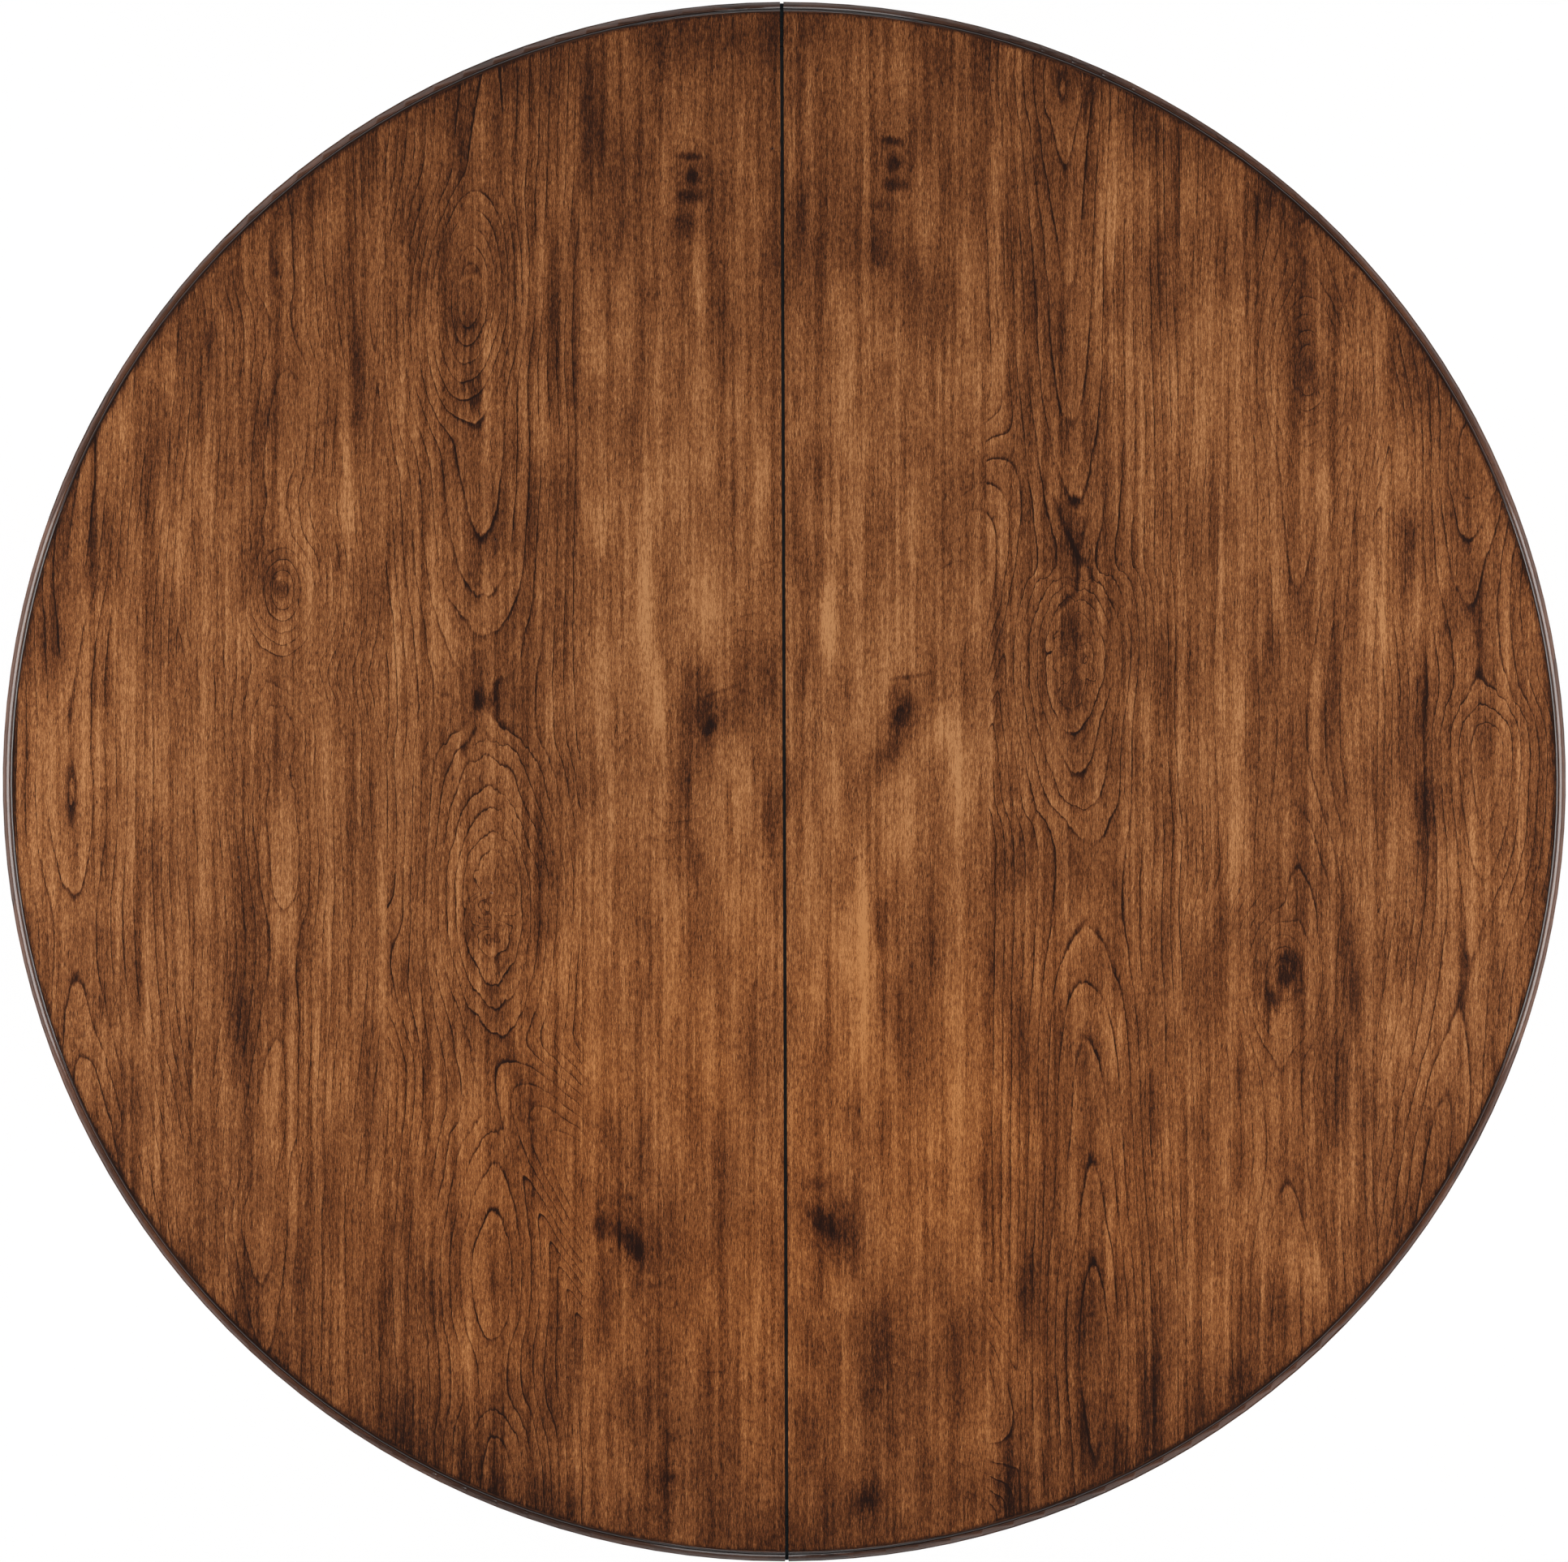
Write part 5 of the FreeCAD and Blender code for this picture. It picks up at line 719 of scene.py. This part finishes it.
def knots_and_smears(wiring, calm, swirling, knots, smears, heart):
    """Draws rings round each knot, and gives each a dark heart with a pale edge, with smears beside it."""
    knot_stain = 0.0
    for knot_x, knot_y, half_width, half_length, turn, strength in knots:
        drawn_out = soft_patch(
            wiring, swirling, knot_x, knot_y, half_width, half_length * KNOT_DRAWN_OUT, turn)["Away"]
        own_rings = wiring.math("MULTIPLY", drawn_out, half_width * KNOT_RING_SHARE)
        heart = wiring.math("SMOOTH_MIN", heart, own_rings, KNOT_JOINING)
        away = soft_patch(wiring, calm, knot_x, knot_y, half_width, half_length, turn)["Away"]
        halo = wiring.remap(away, *HALO_FADE, HALO_STRENGTH, 0.0)
        dark = wiring.remap(away, *HEART_FADE, strength * HEART_SHARE, 0.0)
        off_edge = wiring.math("ABSOLUTE", wiring.math("SUBTRACT", away, PALE_EDGE))
        pale = wiring.remap(off_edge, 0.0, PALE_EDGE_REACH, PALE_STRENGTH, 0.0)
        knot_stain = wiring.add_up(knot_stain, (wiring.math("MAXIMUM", dark, halo), 1.0), (pale, -1.0))
    for smear_x, smear_y, half_width, half_length, turn, strength in smears:
        smear = soft_patch(wiring, calm, smear_x, smear_y, half_width, half_length, turn)["Mask"]
        knot_stain = wiring.math("MULTIPLY_ADD", smear, strength, knot_stain)
    return heart, knot_stain


def rim_shades(wiring, x, y, fibres):
    """Masks of the burnished rim, of the glaze and painted shade at its end and of the darker ends of the
    top.
    """
    radius = wiring.from_middle(x, y)
    ragged = wiring.add_up(radius, (wiring.math("SUBTRACT", fibres["Mottle"], 0.5), RIM_RAGGED))
    towards_ends = wiring.math("DIVIDE", wiring.math("ABSOLUTE", y), VENEER_RADIUS)
    burnished = wiring.math(
        "MULTIPLY",
        wiring.remap(ragged, VENEER_RADIUS - RIM_WIDTH, VENEER_RADIUS),
        wiring.remap(towards_ends, *BURNISHED_ENDS, BURNISHED_SIDES, 1.0),
    )
    ends = wiring.remap(towards_ends, *DARK_ENDS)
    glaze_and_shade = wiring.remap(
        wiring.add_up(radius, (fibres["Streak"], GLAZE_AND_SHADE_RAGGED)),
        VENEER_RADIUS + GLAZE_AND_SHADE_EDGE[0],
        VENEER_RADIUS + GLAZE_AND_SHADE_EDGE[1],
    )
    return burnished, glaze_and_shade, ends


def top_veneer(name, way, leaves, patches, eyes, knots, smears):
    """Figured veneer of one half, stained, worn and lacquered."""
    material, wiring, shader = new_material(name)
    place = photo_position(wiring)
    x, y, _ = wiring.split(wiring.place())
    outwards = wiring.math("MULTIPLY", x, way)

    # The grain wanders slowly, and its rings are jagged
    slow = random_offset(wiring, place, WANDERING_FINENESS, WANDERING, 2.0, 0.5)
    jagged = random_offset(wiring, place, JAGGED_FINENESS, JAGGEDNESS)
    calm = wiring.vector("ADD", place, wiring.vector("MULTIPLY", jagged, KNOT_JAGGEDNESS))
    swirling = wiring.vector("ADD", calm, wiring.vector("MULTIPLY", slow, KNOT_WANDERING))
    wandering = wiring.vector("ADD", wiring.vector("ADD", place, slow), jagged)

    # Stain runs further along some fibres than along others
    run_on = random_offset(wiring, place, STAIN_FINENESS, STAIN_RUN)
    feathered = wiring.vector("ADD", wandering, run_on)

    heart, contrast, stain, leaf_number = leaf_features(
        wiring, outwards, wandering, feathered, leaves, patches, way)
    heart, stain = crumpled_eyes(wiring, place, eyes, heart, stain)
    heart, knot_stain = knots_and_smears(wiring, calm, swirling, knots, smears, heart)

    # Each leaf takes its fibres from another place, so that they break at the joints
    elsewhere = wiring.vector("MULTIPLY", wiring.combine(0.0, leaf_number, leaf_number), LEAF_OFFSET)
    grain = wiring.vector("ADD", wiring.vector("MULTIPLY", place, (MM_PER_PIXEL,) * 3), elsewhere)
    fibres = wiring.group(WOOD_FIBRES, Position=grain)
    rings = wiring.group(GROWTH_RINGS, Radius=heart, Width=RING_WIDTH, Position=grain)
    marks = wiring.group(WORM_MARKS, Position=grain)
    burnished_rim, rim_glaze_and_shade, ends_shade = rim_shades(wiring, x, y, fibres)
    level = wiring.add_up(
        wiring.math("ADD", stain, VENEER_START),
        *((fibres[effect], share) for effect, share in VENEER_FIBRES.items()),
        (wiring.math("MULTIPLY", rings["Line"], contrast), -0.75),
        (wiring.math("MULTIPLY", rings["Shade"], contrast), -0.28),
        (burnished_rim, -0.13),
        # Glaze and painted shade in a thin dark line at the outer edge of the veneer
        (rim_glaze_and_shade, -0.26),
        (ends_shade, -0.14),
        (knot_stain, -0.9),
        (marks["Mark"], -0.4),
    )
    redder = wiring.group(SOFT_PATCH, Position=feathered, Place=RED_PLACE, Reach=RED_REACH)["Mask"]
    redder = wiring.math("MULTIPLY", redder, wiring.remap(fibres["Cloud"], 0.3, 0.6, 0.6, 1.0))
    colour = wiring.mix_colour(redder, wiring.ramp(level, TOP_TONES), RED_STAIN, "MULTIPLY")
    roughness = wiring.add_up(0.4, (fibres["Streak"], 0.14), (marks["Mark"], -0.3))
    height = wiring.add_up(0.0, (fibres["Pore"], -0.1), (marks["Mark"], -1.0))
    wiring.dress(shader, colour, roughness, height, DENT_DEPTH)
    shader.inputs["Specular IOR Level"].default_value = WARM_SPECULAR
    return material


# Other woods

# Gloss of a finish: specular level, weight of the clear coat and its roughness
WARM_GLOSS = (WARM_SPECULAR, 0.2, 0.25)
EDGE_GLOSS = (0.05, 0.55, 0.12)
# Black stain along the seam, lifted to a bluish grey that is a painted reflection
SEAM_STAIN_AND_REFLECTION = [(0.0, shade(40, 46, 49)), (0.6, shade(58, 66, 70)), (1.0, shade(74, 82, 86))]
# What the lightness of stained wood starts from, and what the fibres add to it
WOOD_START = -0.25
WOOD_FIBRE_SHARES = {"Mottle": 0.55, "Streak": 0.6, "Fibre": 0.4, "Pore": -0.14}
# How finely the heart of the wood drifts, in marks per mm, how far, in mm, and how much of its depth shows
DRIFT_FINENESS = (0.012, 0.0016, 0.012)
HEART_DRIFT = 60.0
HEART_DEPTH = 0.6
# How near to the seam an end is sealed, in metres past the gap
SEALED_REACH = 0.0001
GRAIN_DEPTH = 0.0002


def seam_end(wiring):
    """One on the ends that meet at the seam, which are sealed black like the lips, with their painted bluish
    reflection.
    """
    x, _, _ = wiring.split(wiring.place())
    return wiring.math("LESS_THAN", wiring.math("ABSOLUTE", x), HALF_GAP + SEALED_REACH)


def lacquered_wood(
    name, position_of, tones, ring_width, ring_contrast, glaze_and_shade_of=None, gloss=WARM_GLOSS, sealed_end=False,
):
    """Stained wood under lacquer, with its grain along the second part of the position."""
    material, wiring, shader = new_material(name)
    position = position_of(wiring)
    fibres = wiring.group(WOOD_FIBRES, Position=position)
    across, _, through = wiring.split(position)
    drift = wiring.noise(position, DRIFT_FINENESS, 3.0)
    heart = wiring.add_up(across, (through, HEART_DEPTH), (drift, HEART_DRIFT))
    rings = wiring.group(GROWTH_RINGS, Radius=heart, Width=ring_width, Position=position)
    marks = wiring.group(WORM_MARKS, Position=position)
    level = wiring.add_up(
        WOOD_START,
        *((fibres[effect], share) for effect, share in WOOD_FIBRE_SHARES.items()),
        (rings["Line"], -0.3 * ring_contrast),
        (rings["Shade"], -0.2 * ring_contrast),
        (marks["Mark"], -0.3),
    )
    # Dark glaze and painted shade in the hollows, where the piece has them
    if glaze_and_shade_of is not None:
        level = wiring.add_up(level, (glaze_and_shade_of(wiring, fibres["Mottle"]), -0.5))
    colour = wiring.ramp(level, tones)
    # Ends at the seam take the black stain with its painted bluish reflection
    if sealed_end:
        colour = wiring.mix_colour(seam_end(wiring), colour, wiring.ramp(fibres["Fibre"], SEAM_STAIN_AND_REFLECTION))
    roughness = wiring.add_up(0.36, (fibres["Streak"], 0.16), (marks["Mark"], 0.2))
    height = wiring.add_up(0.0, (fibres["Pore"], -0.2), (marks["Mark"], -1.0))
    wiring.dress(shader, colour, roughness, height, GRAIN_DEPTH)
    specular, coat, coat_roughness = gloss
    shader.inputs["Specular IOR Level"].default_value = specular
    shader.inputs["Coat Weight"].default_value = coat
    shader.inputs["Coat Roughness"].default_value = coat_roughness
    return material


EDGE_TONES = [
    (0.0, shade(28, 14, 8)), (0.35, shade(58, 34, 23)), (0.6, shade(86, 54, 38)),
    (0.85, shade(114, 74, 50)), (1.0, shade(140, 96, 66)),
]
DARK_TONES = [
    (0.0, shade(28, 17, 13)), (0.35, shade(58, 35, 25)), (0.6, shade(88, 53, 34)),
    (0.85, shade(118, 72, 44)), (1.0, shade(146, 92, 56)),
]
PALE_TONES = [
    (0.0, shade(142, 106, 70)), (0.35, shade(186, 148, 104)), (0.6, shade(206, 170, 124)),
    (0.85, shade(222, 190, 146)), (1.0, shade(234, 208, 168)),
]


def arc_position(way):
    """Gives the position round a half-round piece."""
    def position_of(wiring):
        return wiring.group(ARC_POSITION, Way=way)["Position"]
    return position_of


def upright_position(wiring):
    """Position with the grain upright."""
    x, y, z = wiring.split(object_position(wiring))
    return wiring.combine(x, z, y)


def lengthwise_position(wiring):
    """Position with the grain along the slides."""
    x, y, z = wiring.split(object_position(wiring))
    return wiring.combine(y, x, z)


# How steeply the grain of a leg falls towards its toe
LEG_FALL = 0.45


def leg_position(turn):
    """Gives the position on a leg, with the grain from the hub to the toe."""
    def position_of(wiring):
        node = wiring.add("ShaderNodeVectorRotate", rotation_type="Z_AXIS")
        wiring.feed(node.inputs["Vector"], object_position(wiring))
        node.inputs["Angle"].default_value = -math.radians(turn)
        along, across, up = wiring.split(node.outputs[0])
        falling = wiring.math("MULTIPLY_ADD", along, LEG_FALL, up)
        return wiring.combine(across, along, falling)
    return position_of


# Radius of the quirk between the arris and the ovolo of the edge, and how far its glaze and painted shade
# reach, in metres
QUIRK_RADIUS = VENEER_RADIUS + 0.0028
QUIRK_FADE = (0.0004, 0.0022)
# Steps of the turned column where glaze and painted shade lie: on the collar and the foot of the shaft, up
# from the hub, and on the capital and the neck of the shaft, up from the joint between them, all in metres
STEP_FADE = (0.0009, 0.0048)
collar_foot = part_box("column_collar")[0][2]
capital_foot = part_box("column_capital")[0][2]
COLUMN_STEPS = [
    *(collar_foot + rise for rise in (0.0, 0.014, 0.020, 0.028, 0.048, 0.062)),
    *(capital_foot + rise for rise in (-0.044, -0.032, -0.010, 0.0, 0.012, 0.034)),
]


def glaze_and_shade_line(wiring, value, middle, fade):
    """A line of glaze and painted shade where a value passes its middle, which fades out to either side."""
    off_line = wiring.math("ABSOLUTE", wiring.math("SUBTRACT", value, middle))
    return wiring.remap(off_line, *fade, 1.0, 0.0)


def patchy_glaze_and_shade(wiring, glaze_and_shade, mottle):
    """Glaze and painted shade, lighter in some places than in others, as if the glaze was wiped off more
    there.
    """
    return wiring.math("MULTIPLY", glaze_and_shade, wiring.remap(mottle, 0.2, 0.6, 0.5, 1.0))


def edge_glaze_and_shade(wiring, mottle):
    """Dark glaze and painted shade in the quirk of the moulded edge."""
    x, y, _ = wiring.split(wiring.place())
    line = glaze_and_shade_line(wiring, wiring.from_middle(x, y), QUIRK_RADIUS, QUIRK_FADE)
    return patchy_glaze_and_shade(wiring, line, mottle)


def column_glaze_and_shade(wiring, mottle):
    """Dark glaze and painted shade in the steps of the turned column."""
    z = wiring.split(wiring.place())[2]
    glaze_and_shade = 0.0
    for step_level in COLUMN_STEPS:
        glaze_and_shade = wiring.math("MAXIMUM", glaze_and_shade, glaze_and_shade_line(wiring, z, step_level, STEP_FADE))
    return patchy_glaze_and_shade(wiring, glaze_and_shade, mottle)


def black_lip_and_reflection():
    """Black stained hardwood along the seam, its colour lifted to a bluish grey as a painted reflection."""
    material, wiring, shader = new_material("black lip with painted reflection")
    fibres = wiring.group(WOOD_FIBRES, Position=object_position(wiring))
    colour = wiring.ramp(fibres["Fibre"], SEAM_STAIN_AND_REFLECTION)
    roughness = wiring.add_up(0.5, (fibres["Pore"], 0.2))
    wiring.dress(shader, colour, roughness, fibres["Fibre"], GRAIN_DEPTH)
    return material


BOARD_TONES = [(0.2, shade(118, 90, 62)), (0.5, shade(158, 126, 90)), (0.8, shade(186, 154, 114))]
# Depths of the felted board, of scuffs in nylon, of drawn streaks in metal and of powder coat, in metres
BOARD_DEPTH = 0.0003
SCUFF_DEPTH = 0.0001
DRAWN_DEPTH = 0.00006
COAT_DEPTH = 0.0002


def fibreboard():
    """Raw pressed board under the veneer, stained where it shows outside the apron."""
    material, wiring, shader = new_material("raw fibreboard")
    x, y, _ = wiring.split(wiring.place())
    stain_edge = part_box("right_apron")[1][0] - APRON_MARGIN
    outside = wiring.math("GREATER_THAN", wiring.from_middle(x, y), stain_edge)
    position = object_position(wiring)
    felted = wiring.noise(position, (0.5, 0.5, 0.5), 5.0, 0.7)
    pressed = wiring.noise(position, (0.02, 0.02, 0.4), 3.0)
    level = wiring.add_up(0.1, (felted, 0.55), (pressed, 0.3))
    raw = wiring.ramp(level, BOARD_TONES)
    colour = wiring.mix_colour(outside, raw, wiring.ramp(level, DARK_TONES))
    roughness = wiring.add_up(0.72, (felted, 0.2), (outside, -0.3))
    wiring.dress(shader, colour, roughness, felted, BOARD_DEPTH)
    return material


def moulded_nylon(name, pale, dark, roughness):
    """Moulded nylon with a faint flow pattern and scuffs."""
    material, wiring, shader = new_material(name)
    position = object_position(wiring)
    flow = wiring.noise(position, (0.06, 0.06, 0.02), 4.0, 0.6)
    scuff = wiring.noise(position, (0.9, 0.25, 0.9), 3.0, 0.65)
    level = wiring.add_up(0.0, (flow, 0.7), (scuff, 0.3))
    colour = wiring.ramp(level, [(0.3, dark), (0.7, pale)])
    scuffed = wiring.remap(scuff, 0.3, 0.7, roughness - 0.08, roughness + 0.12)
    wiring.dress(shader, colour, scuffed, scuff, SCUFF_DEPTH)
    return material


def plated_metal(name, bright, dull, roughness, streak):
    """Metal with fine drawn streaks and a patchy plating."""
    material, wiring, shader = new_material(name)
    position = object_position(wiring)
    streaks = wiring.noise(position, streak, 4.0, 0.6)
    patchy = wiring.noise(position, (0.09, 0.09, 0.09), 3.0, 0.6)
    level = wiring.add_up(0.0, (patchy, 0.65), (streaks, 0.35))
    colour = wiring.ramp(level, [(0.3, dull), (0.7, bright)])
    drawn = wiring.remap(streaks, 0.3, 0.7, roughness - 0.1, roughness + 0.14)
    wiring.dress(shader, colour, drawn, streaks, DRAWN_DEPTH)
    shader.inputs["Metallic"].default_value = 1.0
    return material


def coated_steel():
    """Black powder coat on steel."""
    material, wiring, shader = new_material("black powder coat")
    position = object_position(wiring)
    orange_peel = wiring.noise(position, (0.8, 0.8, 0.8), 3.0, 0.55)
    dusty = wiring.noise(position, (0.05, 0.05, 0.05), 3.0)
    colour = wiring.ramp(dusty, [(0.35, shade(20, 20, 21)), (0.7, shade(44, 43, 42))])
    roughness = wiring.remap(dusty, 0.3, 0.7, 0.42, 0.62)
    wiring.dress(shader, colour, roughness, orange_peel, COAT_DEPTH)
    return material


zinc = plated_metal("zinc plate", shade(206, 206, 202), shade(150, 150, 146), 0.34, (0.4, 0.4, 1.6))
brass = plated_metal("blackened brass", shade(62, 50, 36), shade(34, 28, 22), 0.4, (1.4, 0.2, 0.2))
pale_slides = lacquered_wood("waxed pale slides", lengthwise_position, PALE_TONES, 7.0, 0.5)
column_wood = lacquered_wood("dark column", upright_position, DARK_TONES, 9.0, 0.8, column_glaze_and_shade)
nylon_gear = moulded_nylon("gear nylon", shade(226, 222, 208), shade(204, 198, 180), 0.4)

FINISHES = {
    "left_top_veneer": top_veneer(
        "left figured veneer", -1.0, LEFT_LEAVES, LEFT_PATCHES, LEFT_EYES, LEFT_KNOTS, LEFT_SMEARS),
    "right_top_veneer": top_veneer(
        "right figured veneer", 1.0, RIGHT_LEAVES, RIGHT_PATCHES, RIGHT_EYES, RIGHT_KNOTS, RIGHT_SMEARS),
}
for side, side_way in (("left", -1.0), ("right", 1.0)):
    round_arc = arc_position(side_way)
    FINISHES[f"{side}_edge_moulding"] = lacquered_wood(
        f"{side} moulded edge", round_arc, EDGE_TONES, 6.0, 0.8, edge_glaze_and_shade, EDGE_GLOSS, True)
    FINISHES[f"{side}_apron"] = lacquered_wood(f"{side} apron", round_arc, DARK_TONES, 11.0, 0.8)
for leg, leg_turn in LEG_TURNS.items():
    FINISHES[leg] = lacquered_wood(f"dark {leg}", leg_position(leg_turn), DARK_TONES, 9.0, 0.8)
SLOT_FINISHES = {
    "seam_black": black_lip_and_reflection(),
    "core_board": fibreboard(),
    "slide_maple": pale_slides,
    "gear_nylon": nylon_gear,
    "zinc_steel": zinc,
    "brass_pin": brass,
    "pedestal_wood": column_wood,
    "black_steel": coated_steel(),
    "glide_nylon": moulded_nylon("brown glide nylon", shade(66, 54, 46), shade(44, 36, 31), 0.5),
}
for subpart in frame["record"]["subparts"]:
    node_name = subpart["node"]
    finish = FINISHES.get(node_name) or SLOT_FINISHES[subpart["material_slot"]]
    for holder in frame["nodes"][node_name].material_slots:
        holder.material = finish


# Floor, light and camera

FLOOR_RADIUS = 9.0
FLOOR_SIDES = 96
# Share of plain white in what the camera sees of the floor
FLOOR_WHITENESS = 0.92
# Heights, up a line of sight one long, where the light from all round fades and where the far floor ends,
# and the levels that the light fades from and to
SKY_FADE = (0.25, 0.8)
FAR_FLOOR_FADE = (0.01, 0.05)
SKY_LEVELS = (0.24, 0.03)
CAMERA_DISTANCE = 9.0
SENSOR_WIDTH = 36.0
# Soft boxes: name, place, width and height, power in watts
SOFT_BOXES = [
    ("left soft box", (-3.0, 0.0, 1.75), (2.2, 1.2), 113.0),
    ("right soft box", (3.0, 0.0, 1.75), (2.2, 1.2), 113.0),
    ("front soft box", (0.0, -4.0, 2.6), (1.4, 1.0), 29.0),
    ("back soft box", (0.0, 4.0, 2.6), (1.4, 1.0), 29.0),
]


def background_ray(wiring):
    """One for a ray that looks at the background rather than lighting the object."""
    path = wiring.add("ShaderNodeLightPath").outputs
    seen = wiring.math("MAXIMUM", path["Is Camera Ray"], path["Is Glossy Ray"])
    return wiring.math("MAXIMUM", seen, path["Is Transmission Ray"])


def make_floor():
    """Plain pale floor, white to the camera where no shadow falls, and clear to a camera under it."""
    mesh = bpy.data.meshes.new("studio_floor")
    ring = []
    for number in range(FLOOR_SIDES):
        angle = 2 * math.pi * number / FLOOR_SIDES
        ring.append((FLOOR_RADIUS * math.cos(angle), FLOOR_RADIUS * math.sin(angle), 0.0))
    mesh.from_pydata(ring, [], [list(range(FLOOR_SIDES))])
    floor = bpy.data.objects.new("studio_floor", mesh)
    bpy.context.scene.collection.objects.link(floor)
    material, wiring, shader = new_material("pale floor")
    position = object_position(wiring)
    grey = wiring.noise(position, (0.004, 0.004, 0.004), 2.0)
    wiring.feed(shader.inputs["Base Color"], wiring.ramp(grey, [
        (0.0, shade(246, 246, 246)), (1.0, shade(252, 252, 252))]))
    shader.inputs["Roughness"].default_value = 0.8
    shader.inputs["Specular IOR Level"].default_value = 0.0
    white = wiring.add("ShaderNodeEmission")
    mixed = wiring.add("ShaderNodeMixShader")
    wiring.feed(mixed.inputs[0], wiring.math("MULTIPLY", background_ray(wiring), FLOOR_WHITENESS))
    wiring.feed(mixed.inputs[1], shader.outputs[0])
    wiring.feed(mixed.inputs[2], white.outputs[0])
    from_below = wiring.math(
        "MULTIPLY",
        wiring.add("ShaderNodeNewGeometry").outputs["Backfacing"],
        wiring.add("ShaderNodeLightPath").outputs["Is Camera Ray"],
    )
    clear = wiring.add("ShaderNodeBsdfTransparent")
    surface = wiring.add("ShaderNodeMixShader")
    wiring.feed(surface.inputs[0], from_below)
    wiring.feed(surface.inputs[1], mixed.outputs[0])
    wiring.feed(surface.inputs[2], clear.outputs[0])
    output = material.node_tree.nodes["Material Output"]
    wiring.feed(output.inputs["Surface"], surface.outputs[0])
    mesh.materials.append(material)


def make_world():
    """Soft light from all round, darker overhead, and white to the camera and where the floor meets it."""
    world = bpy.data.worlds.new("soft studio")
    world.use_nodes = True
    bpy.context.scene.world = world
    wiring = Wiring(world.node_tree)
    sky = world.node_tree.nodes["Background"]
    up = wiring.split(wiring.add("ShaderNodeTexCoord").outputs["Generated"])[2]
    around = wiring.remap(up, *SKY_FADE, *SKY_LEVELS)
    background = background_ray(wiring)
    far_floor = wiring.math("MULTIPLY", background, wiring.remap(up, *FAR_FLOOR_FADE, 1.0, 0.0))
    in_view = wiring.add("ShaderNodeLightPath").outputs["Is Camera Ray"]
    level = wiring.math("MAXIMUM", around, wiring.math("MAXIMUM", in_view, far_floor))
    wiring.feed(sky.inputs["Color"], wiring.combine(level, level, level))


def make_soft_box(name, place, size, power):
    """Soft box that stands beside the table and looks at the top."""
    lamp = bpy.data.lights.new(name, "AREA")
    lamp.shape = "RECTANGLE"
    lamp.size, lamp.size_y = size
    lamp.energy = power
    holder = bpy.data.objects.new(name, lamp)
    holder.location = place
    towards_top = Vector((0.0, 0.0, TABLE_TOP)) - Vector(place)
    holder.rotation_euler = towards_top.to_track_quat("-Z", "Y").to_euler()
    bpy.context.scene.collection.objects.link(holder)


def make_camera():
    """Camera straight over the table, framed as the photograph is."""
    lens = bpy.data.cameras.new("camera")
    lens.sensor_width = SENSOR_WIDTH
    lens.lens = SENSOR_WIDTH * CAMERA_DISTANCE / (PHOTO_WIDTH * METRES_PER_PIXEL)
    camera = bpy.data.objects.new("camera", lens)
    camera.location = (
        (PHOTO_WIDTH / 2 - PHOTO_MIDDLE_X) * METRES_PER_PIXEL,
        (PHOTO_MIDDLE_Y - PHOTO_HEIGHT / 2) * METRES_PER_PIXEL,
        TABLE_TOP + CAMERA_DISTANCE,
    )
    camera.rotation_euler = (0.0, 0.0, -PHOTO_TURN)
    bpy.context.scene.collection.objects.link(camera)
    bpy.context.scene.camera = camera


make_floor()
make_world()
for soft_box in SOFT_BOXES:
    make_soft_box(*soft_box)
make_camera()
bpy.context.scene.view_settings.view_transform = "Standard"
